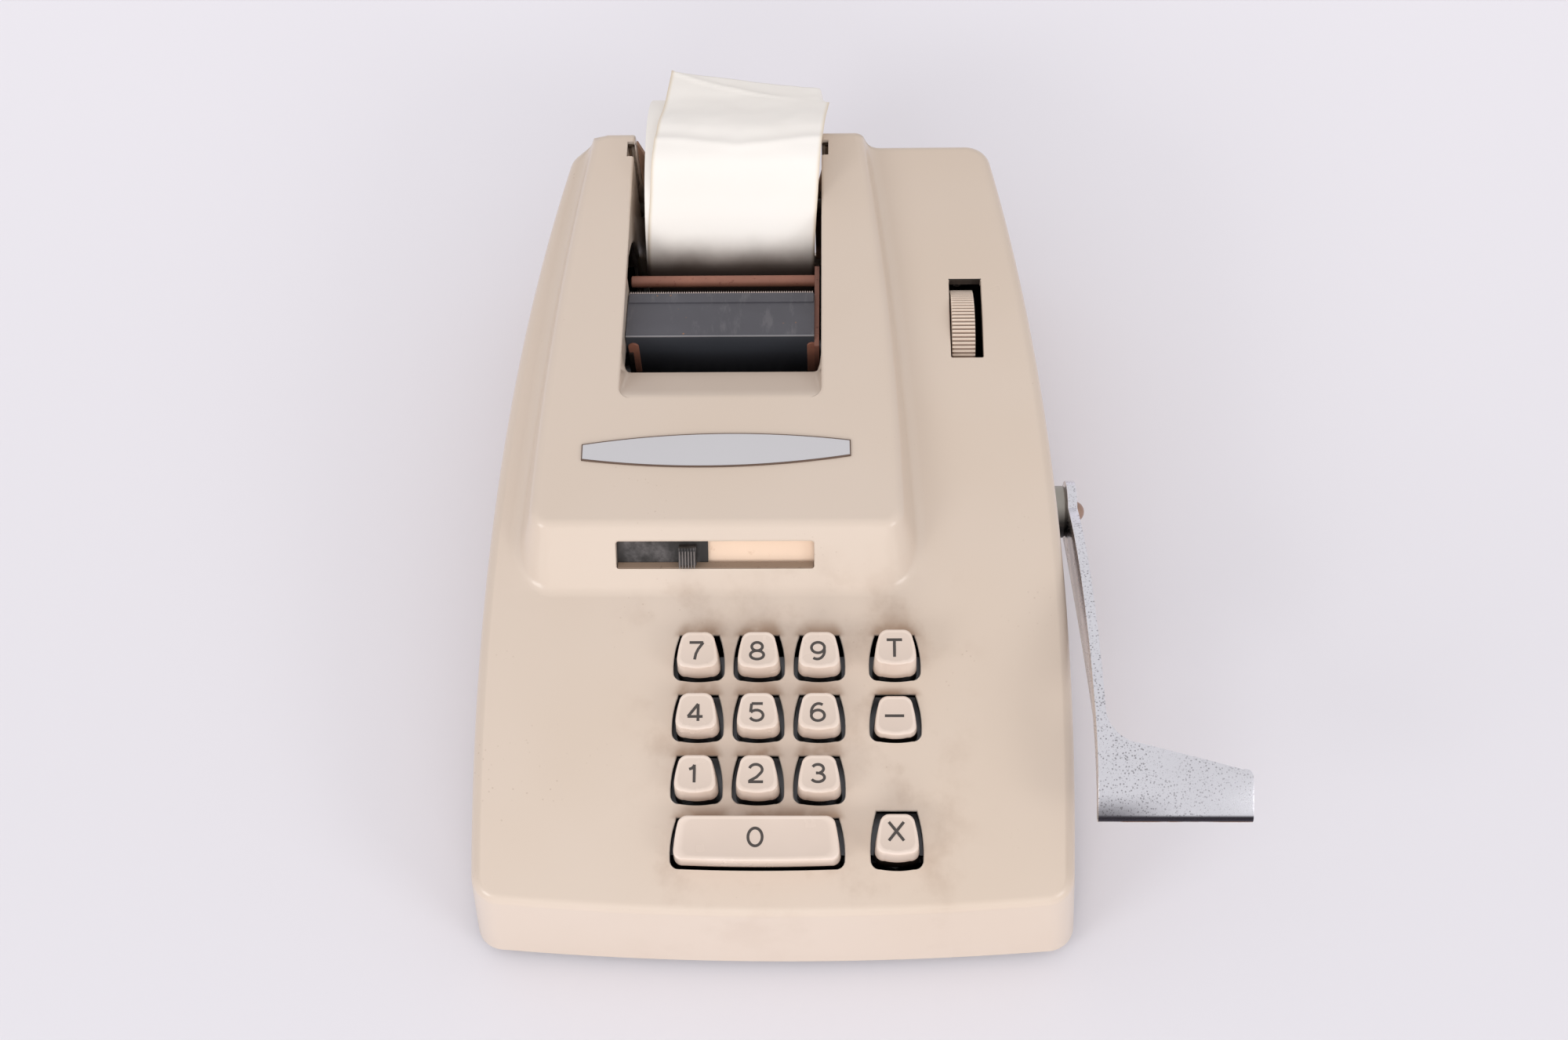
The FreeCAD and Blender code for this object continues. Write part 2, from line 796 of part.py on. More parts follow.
def spring_coil(low, high):
    """A coil of square wire wound in straight steps about the Z axis."""
    steps = spring_turns * spring_steps
    points = []
    for step in range(steps + 1):
        angle = 2 * math.pi * step / spring_steps
        z = low + (high - low) * step / steps
        points.append(vec(spring_radius * math.cos(angle), spring_radius * math.sin(angle), z))
    along = (points[1] - points[0]).normalize()
    upward = along.cross(vec(1, 0, 0)).normalize()
    outward = upward.cross(along).normalize()
    half = spring_wire / 2
    corners = []
    for side, rise in ((-1, -1), (1, -1), (1, 1), (-1, 1), (-1, -1)):
        corners.append(points[0] + outward * (side * half) + upward * (rise * half))
    return Part.makePolygon(points).makePipeShell([Part.makePolygon(corners)], True, False, 1)


def make_key_springs():
    """Return springs round the stems, from the lower guide plate up to each collar."""
    end = spring_wire / 2 + guide_slot_gap / 2
    low = -guide_lower_depth + end
    high = -guide_upper_depth - guide_thickness - guide_slot_gap - stem_collar_height - end
    spring = spring_coil(low, high)
    springs = []
    for name, x, y, width, length, height in key_layout():
        springs.append(on_key_plane(spring, x, y))
    return group(springs)


def make_slide():
    """Black indicator strip with its ribbed finger knob and the leg down to the carriage."""
    top = -cover_wall - slide_gap
    low = top - slide_thickness
    strip = box(slide_left_x, slide_right_x, -slide_below, slide_above, low, top)
    half = window_height / 2
    knob = box(knob_left_x, knob_right_x, -half + slide_gap, -half + slide_gap + knob_length, top, 0.6)
    pieces = [slope_place(strip), slope_place(knob)]
    rib_pitch = (knob_right_x - knob_left_x) / knob_ribs
    for rib in range(knob_ribs):
        x = knob_left_x + rib * rib_pitch
        ridge = box(x, x + rib_pitch / 2, -half + slide_gap, -half + slide_gap + knob_length, 0.6, 1.1)
        pieces.append(slope_place(ridge))
    lean = math.radians(hump_front_lean_deg)
    window_y = hump_front_y + (window_z - hump_front_z) * math.tan(lean)
    leg_y = window_y - (slide_below - 1.5) * math.sin(lean) - low * math.cos(lean)
    leg_top = window_z - (slide_below - 1.5) * math.cos(lean) + low * math.sin(lean)
    leg_left = carriage_left_x + 4
    pieces.append(box(leg_left, leg_left + 20, leg_y - 0.5, leg_y + 0.5, carriage_high_z, leg_top + 0.5))
    return joined(pieces)


def make_scale():
    """Pale scale behind the slide, held by the two pads under the slope."""
    top = -cover_wall - slide_gap - slide_thickness - scale_gap
    left = window_left_x - scale_margin
    right = window_right_x + scale_margin
    return slope_place(box(left, right, -scale_below, scale_above, top - scale_thickness, top))


def make_carriage():
    """Stop-pin carriage: a block bored for its rails, with rows of setting pins at the rear."""
    right = carriage_left_x + carriage_length
    block = box(carriage_left_x, right, carriage_front_y, carriage_rear_y, carriage_low_z, carriage_high_z)
    for z in rail_heights:
        block = block.cut(rod_x(carriage_left_x - 1, right + 1, rail_y, z, rail_radius + running_gap))
    pins = []
    for column in range(carriage_pin_columns):
        for row in range(carriage_pin_rows):
            x = carriage_left_x + carriage_length * (column + 0.5) / carriage_pin_columns
            z = carriage_low_z + (carriage_high_z - carriage_low_z) * (row + 0.5) / carriage_pin_rows
            half = carriage_pin_width / 2
            tip = carriage_rear_y + carriage_pin_length
            pins.append(box(x - half, x + half, carriage_rear_y - 1, tip, z - half, z + half))
    return block.fuse(pins).removeSplitter()


def make_rails():
    rails = []
    for z in rail_heights:
        rails.append(rod_x(frame_left_x + frame_thickness, frame_right_x, rail_y, z, rail_radius))
    return group(rails)


def make_platen():
    sleeve = rod_x(platen_left_x, platen_right_x, platen_y, platen_z, platen_radius)
    return sleeve.cut(rod_x(platen_left_x - 1, platen_right_x + 1, platen_y, platen_z, platen_shaft_radius))


def make_platen_shaft():
    left = frame_left_x
    return rod_x(left, feed_wheel_left_x + feed_wheel_width, platen_y, platen_z, platen_shaft_radius)


def make_feed_wheel():
    """Finger wheel with fine ribs across its rim."""
    outer = feed_wheel_radius
    root = feed_wheel_radius - feed_wheel_rib_depth
    points = []
    for rib in range(feed_wheel_ribs):
        for share, radius in ((0.0, root), (0.25, outer), (0.5, outer), (0.75, root)):
            angle = 2 * math.pi * (rib + share) / feed_wheel_ribs
            points.append((platen_y + radius * math.cos(angle), platen_z + radius * math.sin(angle)))
    right = feed_wheel_left_x + feed_wheel_width
    wheel = yz_plate(feed_wheel_left_x, right, points)
    wheel = wheel.cut(rod_x(feed_wheel_left_x - 1, right + 1, platen_y, platen_z, platen_shaft_radius))
    recess = rod_x(right - 2, right + 1, platen_y, platen_z, outer - 4)
    hub = rod_x(right - 2, right + 1, platen_y, platen_z, platen_shaft_radius + 3)
    return wheel.cut(recess.cut(hub))


def bracket_left_x():
    return well_left_x + bracket_side_gap


def bracket_right_x():
    return well_right_x - bracket_side_gap - bracket_thickness


def under_tear_plate(y):
    slope = (tear_rear_z - tear_fold_z) / (tear_rear_y - tear_fold_y)
    return tear_fold_z - tear_plate_thickness + (y - tear_fold_y) * slope


def make_brackets():
    """Two side plates that hang the platen, the tear plate and the guide bar."""
    plates = []
    for x0 in (bracket_left_x(), bracket_right_x()):
        points = [
            (bracket_front_y, tear_low_z),
            (bracket_front_y, tear_fold_z - 4),
            (bracket_front_y + 3, under_tear_plate(bracket_front_y + 3)),
            (tear_rear_y, under_tear_plate(tear_rear_y)),
            (bracket_rear_y, bracket_high_z - 1),
            (bracket_rear_y, bracket_low_z + 8),
            (bracket_rear_y - 10, base_top_z()),
            (platen_y - 6, base_top_z()),
            (platen_y - 6, bracket_low_z),
        ]
        plate = yz_plate(x0, x0 + bracket_thickness, points)
        plate = plate.cut(rod_x(x0 - 1, x0 + bracket_thickness + 1, platen_y, platen_z, platen_shaft_radius + running_gap))
        plates.append(plate)
    return group(plates)


def make_tear_plate():
    """Folded plate over the platen: a top face and a front flange."""
    t = tear_plate_thickness
    left = bracket_left_x()
    right = bracket_right_x() + bracket_thickness
    top = yz_plate(left, right, [(tear_fold_y, tear_fold_z), (tear_rear_y, tear_rear_z), (tear_rear_y, tear_rear_z - t),
                                 (tear_fold_y, tear_fold_z - t)])
    inner_left = left + bracket_thickness
    inner_right = right - bracket_thickness
    return top.fuse(box(inner_left, inner_right, tear_fold_y, tear_fold_y + t, tear_low_z, tear_fold_z - t / 2)).removeSplitter()


def make_tear_blade():
    """Thin strip along the tear plate's rear edge, with saw teeth that cut the paper."""
    left = bracket_left_x() + 1
    right = bracket_right_x() + bracket_thickness - 1
    teeth = int((right - left) / tear_tooth_pitch)
    pitch = (right - left) / teeth
    front = -tear_blade_width
    corners = [vec(left, front, 0), vec(right, front, 0), vec(right, 0, 0)]
    for tooth in range(teeth):
        x = right - tooth * pitch
        corners.append(vec(x - pitch / 2, tear_tooth_depth, 0))
        corners.append(vec(x - pitch, 0, 0))
    corners.append(corners[0])
    blade = Part.Face(Part.makePolygon(corners)).extrude(vec(0, 0, tear_blade_thickness))
    slope = math.degrees(math.atan((tear_rear_z - tear_fold_z) / (tear_rear_y - tear_fold_y)))
    return tilted(blade, tear_rear_y, tear_rear_z, slope)


def make_guide_bar():
    left = bracket_left_x() + bracket_thickness
    return rod_x(left, bracket_right_x(), guide_bar_y, guide_bar_z, guide_bar_radius)


def gear(x0, width, y, z, teeth, phase_deg):
    """Spur gear with straight-sided teeth; a tooth points along phase_deg in the YZ plane."""
    pitch_radius = gear_module * teeth / 2
    root = pitch_radius - 1.25 * gear_module
    tip = pitch_radius + 0.9 * gear_module
    points = []
    for tooth in range(teeth):
        for share, radius in ((-0.26, root), (-0.11, tip), (0.11, tip), (0.26, root)):
            angle = math.radians(phase_deg) + 2 * math.pi * (tooth + share) / teeth
            points.append((y + radius * math.cos(angle), z + radius * math.sin(angle)))
    return yz_plate(x0, x0 + width, points)


def gear_line_deg():
    return math.degrees(math.atan2(type_shaft_z - crank_z, type_shaft_y - crank_y))


def make_drive_gear():
    wheel = gear(gear_x, gear_width, crank_y, crank_z, drive_teeth, gear_line_deg())
    return wheel.cut(rod_x(gear_x - 1, gear_x + gear_width + 1, crank_y, crank_z, main_shaft_radius))


def make_type_gear():
    half_tooth = 180 / type_gear_teeth
    wheel = gear(gear_x, gear_width, type_shaft_y, type_shaft_z, type_gear_teeth, gear_line_deg() + 180 + half_tooth)
    return wheel.cut(rod_x(gear_x - 1, gear_x + gear_width + 1, type_shaft_y, type_shaft_z, type_shaft_radius))


def make_type_shaft():
    return rod_x(frame_left_x, frame_right_x + frame_thickness, type_shaft_y, type_shaft_z, type_shaft_radius)


def sector_face(x):
    """A type sector: a hub and a fan whose rim carries the type faces."""
    aim = math.atan2(platen_z - type_shaft_z, platen_y - type_shaft_y)
    sweep = math.radians(type_sweep_deg)
    start = aim + math.radians(8)
    points = [(type_shaft_y, type_shaft_z)]
    for tooth in range(type_teeth):
        for share, radius in ((0.1, type_radius - 1.2), (0.25, type_radius), (0.75, type_radius), (0.9, type_radius - 1.2)):
            angle = start + sweep * (tooth + share) / type_teeth
            points.append((type_shaft_y + radius * math.cos(angle), type_shaft_z + radius * math.sin(angle)))
    fan = yz_plate(x, x + type_sector_thickness, points)
    hub = rod_x(x - 1.2, x + type_sector_thickness + 1.2, type_shaft_y, type_shaft_z, type_hub_radius)
    bore = rod_x(x - 2, x + type_sector_thickness + 2, type_shaft_y, type_shaft_z, type_shaft_radius)
    return fan.fuse(hub).cut(bore).removeSplitter()


def make_type_sectors():
    return group([sector_face(type_first_x + number * type_sector_pitch) for number in range(type_sector_count)])


def make_main_shaft():
    return rod_x(frame_left_x, crank_hub_left_x, crank_y, crank_z, main_shaft_radius)


def make_hub():
    return rod_x(crank_hub_left_x, crank_inner_x, crank_y, crank_z, crank_hub_radius)


def lever_top():
    """Upper edge of the lever seen from the side: an arch from the pivot down to the grip."""
    return arc(vec(0, 147.0, 48.1), vec(0, 95.0, 68.2), vec(0, 50.0, 74.0))


def lever_side_face():
    """The lever's side view: round end on the pivot, arched arm and turned-down grip."""
    edges = [
        arc(vec(0, crank_y - 3.9, crank_z - 9.9), vec(0, crank_y + crank_end_radius, crank_z), vec(0, 139.5, 47.5)),
        arc(vec(0, 139.5, 47.5), vec(0, 92.0, 68.6), vec(0, 50.0, 74.0)),
        arc(vec(0, 50.0, 74.0), vec(0, 33.0, 70.2), vec(0, 20.4, 62.6)),
        arc(vec(0, 20.4, 62.6), vec(0, 20.2, 60.4), vec(0, 22.4, 59.4)),
        arc(vec(0, 22.4, 59.4), vec(0, 36.0, 65.6), vec(0, 52.0, 67.4)),
        arc(vec(0, 52.0, 67.4), vec(0, 80.0, 56.5), vec(0, crank_y - 3.9, crank_z - 9.9)),
    ]
    return Part.Face(Part.Wire(edges))


def make_crank_arm():
    """Cast lever: the side profile runs across, and the plan outline cuts out the arm and the grip."""
    outer_x = crank_inner_x + crank_arm_thickness
    profile = lever_side_face()
    profile.translate(vec(crank_inner_x, 0, 0))
    run = profile.extrude(vec(grip_right_x - crank_inner_x, 0, 0))
    front = 15.0
    rear = crank_y + crank_end_radius + 5
    root_y = 20.0 + grip_inner_width
    tip_y = 20.0 + grip_outer_width
    edges = [
        line(vec(crank_inner_x, front, 0), vec(grip_right_x, front, 0)),
        line(vec(grip_right_x, front, 0), vec(grip_right_x, tip_y - 2, 0)),
        arc(vec(grip_right_x, tip_y - 2, 0), vec(grip_right_x - 0.6, tip_y - 0.6, 0), vec(grip_right_x - 3, tip_y, 0)),
        line(vec(grip_right_x - 3, tip_y, 0), vec(outer_x + grip_corner + 1.5, root_y - 0.5, 0)),
        arc(vec(outer_x + grip_corner + 1.5, root_y - 0.5, 0), vec(outer_x + 2.6, root_y + 3.2, 0), vec(outer_x, root_y + 10, 0)),
        line(vec(outer_x, root_y + 10, 0), vec(outer_x, rear, 0)),
        line(vec(outer_x, rear, 0), vec(crank_inner_x, rear, 0)),
        line(vec(crank_inner_x, rear, 0), vec(crank_inner_x, front, 0)),
    ]
    plan = Part.Face(Part.Wire(edges)).extrude(vec(0, 0, form_top_z))
    lever = run.common(plan)
    return lever.cut(rod_x(crank_inner_x - 1, outer_x + 1, crank_y, crank_z, crank_screw_radius + 0.02))


def make_crank_screw():
    outer_x = crank_inner_x + crank_arm_thickness
    rim_x = outer_x + crank_screw_head_height / 2
    head = rod_x(outer_x, rim_x, crank_y, crank_z, crank_screw_head_radius)
    dome = Part.makeCone(crank_screw_head_radius, crank_screw_head_radius - 1, crank_screw_head_height / 2,
                         vec(rim_x, crank_y, crank_z), vec(1, 0, 0))
    shank = rod_x(crank_inner_x, outer_x, crank_y, crank_z, crank_screw_radius)
    return joined([head, dome, shank])


def make_spindle():
    left = well_left_x - cover_wall
    right = well_right_x + cover_wall
    return rod_x(left, right, roll_y, roll_z, spindle_radius)


def make_roll():
    left = roll_left_x
    right = roll_left_x + roll_width
    roll = rod_x(left, right, roll_y, roll_z, roll_radius)
    return roll.cut(rod_x(left - 1, right + 1, roll_y, roll_z, spindle_radius + 2 * running_gap))


def offset_path(points, offset):
    """The path moved sideways by offset, to its upper side."""
    moved = []
    for place, (y, z) in enumerate(points):
        before = points[max(place - 1, 0)]
        after = points[min(place + 1, len(points) - 1)]
        run = math.hypot(after[0] - before[0], after[1] - before[1])
        moved.append((y - offset * (after[1] - before[1]) / run, z + offset * (after[0] - before[0]) / run))
    return moved


def smooth_edge(points):
    curve = Part.BSplineCurve()
    curve.interpolate([vec(tape_left_x, y, z) for y, z in points])
    return curve.toShape()


def make_tape():
    """Loose tape: up from behind the platen, over the roll and down to its free end."""
    upper = offset_path(tape_path, tape_thickness)
    lower_edge = smooth_edge(tape_path)
    upper_edge = smooth_edge(upper)
    first = line(vec(tape_left_x, *tape_path[0]), vec(tape_left_x, *upper[0]))
    last = line(vec(tape_left_x, *tape_path[-1]), vec(tape_left_x, *upper[-1]))
    outline = Part.Wire(Part.sortEdges([lower_edge, last, upper_edge, first])[0])
    tape = Part.Face(outline).extrude(vec(roll_width, 0, 0))
    drift = FreeCAD.Matrix()
    drift.A12 = tape_drift
    drift.A14 = -tape_drift * tape_path[2][0]
    return tape.transformGeometry(drift)


def make_nodes():
    nodes = {
        "top_cover": make_cover(),
        "base_plate": make_base(),
        "rubber_feet": make_feet(),
        "cover_screws": make_cover_screws(),
        "name_plate": make_name_plate(),
        "left_frame": make_frame(frame_left_x),
        "right_frame": make_frame(frame_right_x),
        "frame_tie_bars": make_ties(),
        "shaft_bushes": make_bushes(),
        "key_guide_upper": make_guide(guide_upper_depth),
        "key_guide_lower": make_guide(guide_lower_depth),
        "key_springs": make_key_springs(),
        "carriage_rails": make_rails(),
        "pin_carriage": make_carriage(),
        "indicator_slide": make_slide(),
        "indicator_scale": make_scale(),
        "tear_plate": make_tear_plate(),
        "tear_blade": make_tear_blade(),
        "paper_guide_bar": make_guide_bar(),
        "platen_brackets": make_brackets(),
        "platen_roller": make_platen(),
        "platen_shaft": make_platen_shaft(),
        "feed_wheel": make_feed_wheel(),
        "type_shaft": make_type_shaft(),
        "type_sectors": make_type_sectors(),
        "type_gear": make_type_gear(),
        "drive_gear": make_drive_gear(),
        "main_shaft": make_main_shaft(),
        "crank_hub": make_hub(),
        "crank_arm": make_crank_arm(),
        "crank_screw": make_crank_screw(),
        "paper_spindle": make_spindle(),
        "paper_roll": make_roll(),
        "paper_tape": make_tape(),
    }
    stem = make_key_stem()
    for name, x, y, width, length, height in key_layout():
        nodes["key_cap_" + name] = on_key_plane(make_key_cap(width, length, height), x, y)
        nodes["key_stem_" + name] = on_key_plane(stem, x, y)
    return nodes


def base_centre(nodes):
    """The point under the middle of the whole machine, at the table."""
    bounds = group(list(nodes.values())).optimalBoundingBox(False)
    return vec((bounds.XMin + bounds.XMax) / 2, (bounds.YMin + bounds.YMax) / 2, bounds.ZMin)


nodes = make_nodes()
origin = base_centre(nodes)
os.makedirs("parts", exist_ok=True)
for name, shape in nodes.items():
    shape.translate(origin * -1)
    shape.exportStep("parts/" + name + ".step")
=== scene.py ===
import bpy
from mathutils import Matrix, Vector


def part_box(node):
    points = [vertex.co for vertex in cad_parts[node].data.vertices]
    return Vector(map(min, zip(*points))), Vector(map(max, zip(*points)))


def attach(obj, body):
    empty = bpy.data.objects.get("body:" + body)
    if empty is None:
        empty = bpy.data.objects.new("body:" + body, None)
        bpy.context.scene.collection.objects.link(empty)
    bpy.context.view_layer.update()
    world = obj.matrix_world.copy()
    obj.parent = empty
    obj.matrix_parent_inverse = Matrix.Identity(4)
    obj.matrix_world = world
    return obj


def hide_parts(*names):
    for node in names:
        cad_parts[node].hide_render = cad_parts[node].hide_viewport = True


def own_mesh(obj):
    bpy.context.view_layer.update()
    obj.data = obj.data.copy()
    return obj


bl_info = {
    "name": "Adding machine",
    "version": (1, 0, 0),
    "blender": (4, 5, 0),
    "location": "View3D > Sidebar > Adding machine",
    "description": "Dresses a hand-lever ten-key adding machine, one button for each kind of piece",
    "category": "Object",
}

import math
from collections import namedtuple

import bmesh
import bpy
from bpy.props import FloatProperty, FloatVectorProperty, IntProperty, PointerProperty
from mathutils import Matrix, Vector, geometry, kdtree, noise

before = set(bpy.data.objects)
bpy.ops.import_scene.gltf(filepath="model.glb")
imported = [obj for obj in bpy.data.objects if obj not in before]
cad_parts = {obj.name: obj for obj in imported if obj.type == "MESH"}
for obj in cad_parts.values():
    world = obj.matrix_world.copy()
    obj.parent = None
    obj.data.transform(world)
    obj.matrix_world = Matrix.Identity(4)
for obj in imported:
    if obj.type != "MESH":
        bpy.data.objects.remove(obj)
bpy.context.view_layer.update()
MM = 0.001
DOUBLES, FLAT = 0.000002, math.radians(0.4)

# The case's own coordinates, as in its drawing: X from its centre plane, Y from its front corners, in mm.
SHAFT_LEFT_X, CRANK_Y, CRANK_Z = -70.0, 144.0, 37.9
shaft_low, shaft_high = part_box("main_shaft")
ORIGIN_X = SHAFT_LEFT_X - shaft_low.x / MM
ORIGIN_Y = CRANK_Y - (shaft_low.y + shaft_high.y) / 2 / MM

# The camera solved from the photograph: place in the case's coordinates, angles in radians, lens in mm.
CAMERA_PLACE = (21.237, -214.283, 607.280)
CAMERA_PITCH, CAMERA_YAW, CAMERA_ROLL = 1.01224736, 0.05369593, -0.04862731
CAMERA_LENS, SENSOR_WIDTH = 44.999, 36

# Plan outline: arcs of the front and the sides, corners between them, and the walls' draft.
COVER_CORNER, COVER_SIDE, COVER_FRONT, COVER_BOW = 9.0, 1005.0, 1053.0, 3.7
COVER_HALF, COVER_WIDEST_Y, COVER_LENGTH, COVER_LIFT = 98.5, 85.0, 281.0, 4.0
WALL = 2.5
DRAFT = math.tan(math.radians(5))
RIM_RADIUS, RIM_STEPS = 3.6, 8

# Side view of the deck's arc, and the hump on it.
DECK_REAR_Y, DECK_REAR_Z = 274.0, 79.6
DECK = ((0.0, 38.8), (137.0, 68.4), (DECK_REAR_Y, DECK_REAR_Z))
HUMP_X, HUMP_HALF, HUMP_FRONT_Y, HUMP_REAR_Z = -18.2, 59.5, 114.0, 88.4
HUMP_SIDE, HUMP_WIDEST_Y, HUMP_CORNER = 1205.0, 125.0, 6.0
HUMP_RIM, HUMP_FOOT, HUMP_BEND = 4.0, 5.0, 3.0
HUMP_SLOPE = (HUMP_REAR_Z - DECK_REAR_Z) / (DECK_REAR_Y - HUMP_FRONT_Y)
SIDE_LEAN, FRONT_LEAN = 20, 41
HUMP_LEAN = math.radians(FRONT_LEAN)
SIDE_SLOPE, FRONT_SLOPE = 2.75, 1.15

# The scoop before the paper well, the well with its rolled edge, and the spindle's slots in its walls.
SCOOP_LEFT, SCOOP_RIGHT, SCOOP_Y, SCOOP_CORNER, SCOOP_DEPTH = -51.5, 15.2, 161.0, 4.0, 8.0
WELL_Y, WELL_CORNER, WELL_FLOOR_Z, WELL_END_Y = 176.5, 3.0, 12.0, 300
ROLLED = 0.9
ROLL_SHARES = (0.0, 0.1, 0.3, 0.6, 1.0)
CUTOUT_Y, CUTOUT_Z, CUTOUT_RADIUS = 212.0, 50.0, 33.0
SPINDLE_Y, SPINDLE_Z, SLOT_RADIUS, SLOT_DEEP = 265.5, 56.3, 3.3, 2.4

WINDOW_Z = 72.0
WINDOW_Y = HUMP_FRONT_Y + (WINDOW_Z - DECK_REAR_Z) * math.tan(HUMP_LEAN)
WINDOW_LEFT, WINDOW_RIGHT, WINDOW_HEIGHT, WINDOW_DROP = -50.3, 13.0, 8.6, 0.75
WHEEL_SLOT = (59.0, 70.0, 183.0, 214.3)
PLATE_REACH, PLATE_HALF, PLATE_END, PLATE_SKEW = 43.5, 6.05, 0.455, 0.0157
KNOB_LEFT, KNOB_RIGHT, KNOB_LOW, KNOB_RISE, KNOB_RIBS = -30.2, -24.6, -4.9, 5.8, 6

KEY_LEFT_X, KEY_PITCH, KEY_FIRST_Y, FUNCTION_GAP = -23.45, 19.05, 19.9, 23.8
KEY_TRAVEL, SKIRT_DEPTH = 4.0, 6.0
DISH_RADIUS, DISH_DEPTH = 34.0, 0.7

FOLD_Y, FOLD_Z, TEAR_Y, TEAR_Z = 189.4, 78.2, 208.5, 76.8
PLATE_LEFT, PLATE_RIGHT = -51.2, 12.75
TOOTH_PITCH, TOOTH_DEPTH, TOOTH_GAP = 0.8, 0.9, 0.06
BAR_Y, BAR_Z, BAR_RADIUS = 218.0, 72.0, 2.0
WHEEL_Y, WHEEL_Z, WHEEL_RADIUS, WHEEL_RIBS = 199.0, 58.0, 20.0, 90
ROLL_Y, ROLL_Z, ROLL_RADIUS, ROLL_LEFT, ROLL_WIDTH = 265.5, 56.0, 39.0, -46.6, 58.5
TAPE_LEFT, TAPE_FOOT_Y, TAPE_END_Y, TAPE_THICK = ROLL_LEFT + 0.4, 226.3, 298.1, 0.14


def at(x, y, z):
    """A point of the case's own coordinates in the scene's, in metres."""
    return Vector(((x - ORIGIN_X) * MM, (y - ORIGIN_Y) * MM, z * MM))


def circle_through(first, middle, last):
    (y1, z1), (y2, z2), (y3, z3) = first, middle, last
    twist = 2 * (y1 * (z2 - z3) + y2 * (z3 - z1) + y3 * (z1 - z2))
    s1, s2, s3 = y1 * y1 + z1 * z1, y2 * y2 + z2 * z2, y3 * y3 + z3 * z3
    yc = (s1 * (z2 - z3) + s2 * (z3 - z1) + s3 * (z1 - z2)) / twist
    zc = (s1 * (y3 - y2) + s2 * (y1 - y3) + s3 * (y2 - y1)) / twist
    return yc, zc, math.hypot(y1 - yc, z1 - zc)


DECK_ARC = circle_through(*DECK)


def deck_z(y):
    yc, zc, radius = DECK_ARC
    return zc + math.sqrt(radius ** 2 - (y - yc) ** 2)


def hump_z(y):
    return DECK_REAR_Z + HUMP_SLOPE * (y - HUMP_FRONT_Y)


KEY_LAST_Y = 77.25
KEY_SLOPE = (deck_z(KEY_LAST_Y) - deck_z(KEY_FIRST_Y)) / (KEY_LAST_Y - KEY_FIRST_Y)
KEY_TILT = math.atan(KEY_SLOPE)


def on_key_plane(x, y, across, along, up):
    """A point of a key that stands at (x, y) on the tilted keyboard."""
    z = deck_z(KEY_FIRST_Y) + (y - KEY_FIRST_Y) * KEY_SLOPE
    turned_y = along * math.cos(KEY_TILT) - up * math.sin(KEY_TILT)
    turned_z = along * math.sin(KEY_TILT) + up * math.cos(KEY_TILT)
    return at(x + across, y + turned_y, z + turned_z)


def on_slope(x, along, up):
    """A point on the hump's front slope: along climbs it, up stands off it."""
    y = WINDOW_Y + along * math.sin(HUMP_LEAN) - up * math.cos(HUMP_LEAN)
    z = WINDOW_Z + along * math.cos(HUMP_LEAN) + up * math.sin(HUMP_LEAN)
    return at(x, y, z)


def make_object(name, vertices, faces, smooth=True):
    mesh = bpy.data.meshes.new(name)
    mesh.from_pydata([tuple(v) for v in vertices], [], faces)
    mesh.validate()
    mesh.update()
    if smooth:
        mesh.shade_smooth()
    thing = bpy.data.objects.new(name, mesh)
    bpy.context.scene.collection.objects.link(thing)
    return thing


def outward(thing):
    """Merges doubles and points every face outwards."""
    work = bmesh.new()
    work.from_mesh(thing.data)
    bmesh.ops.remove_doubles(work, verts=work.verts, dist=DOUBLES)
    bmesh.ops.recalc_face_normals(work, faces=work.faces)
    work.to_mesh(thing.data)
    work.free()
    thing.data.update()


def sharpen(thing, degrees=35):
    """Keeps edges sharp where the surface turns by more than this."""
    thing.data.set_sharp_from_angle(angle=math.radians(degrees))


def closed_piece(name, vertices, faces, degrees=35):
    thing = make_object(name, vertices, faces)
    outward(thing)
    sharpen(thing, degrees)
    return thing


def finish_piece(thing, material, body, slot, *nodes):
    thing.data.materials.clear()
    thing.data.materials.append(material)
    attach(thing, body)
    if nodes:
        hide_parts(*nodes)
    return thing


def softened(name, node, width, steps=2, degrees=30):
    """A copy of a CAD node with its flat faces merged and its sharp edges rounded, width in millimetres."""
    thing = bpy.data.objects.new(name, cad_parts[node].data.copy())
    bpy.context.scene.collection.objects.link(thing)
    work = bmesh.new()
    work.from_mesh(thing.data)
    bmesh.ops.remove_doubles(work, verts=work.verts, dist=DOUBLES)
    bmesh.ops.dissolve_limit(work, angle_limit=FLAT, verts=work.verts, edges=work.edges)
    turn = math.radians(degrees)
    edges = [edge for edge in work.edges if len(edge.link_faces) == 2 and edge.calc_face_angle() > turn]
    bmesh.ops.bevel(work, geom=edges, offset=width * MM, segments=steps, profile=0.5, affect="EDGES",
                    clamp_overlap=True)
    work.to_mesh(thing.data)
    work.free()
    thing.data.shade_smooth()
    sharpen(thing, 32)
    return thing


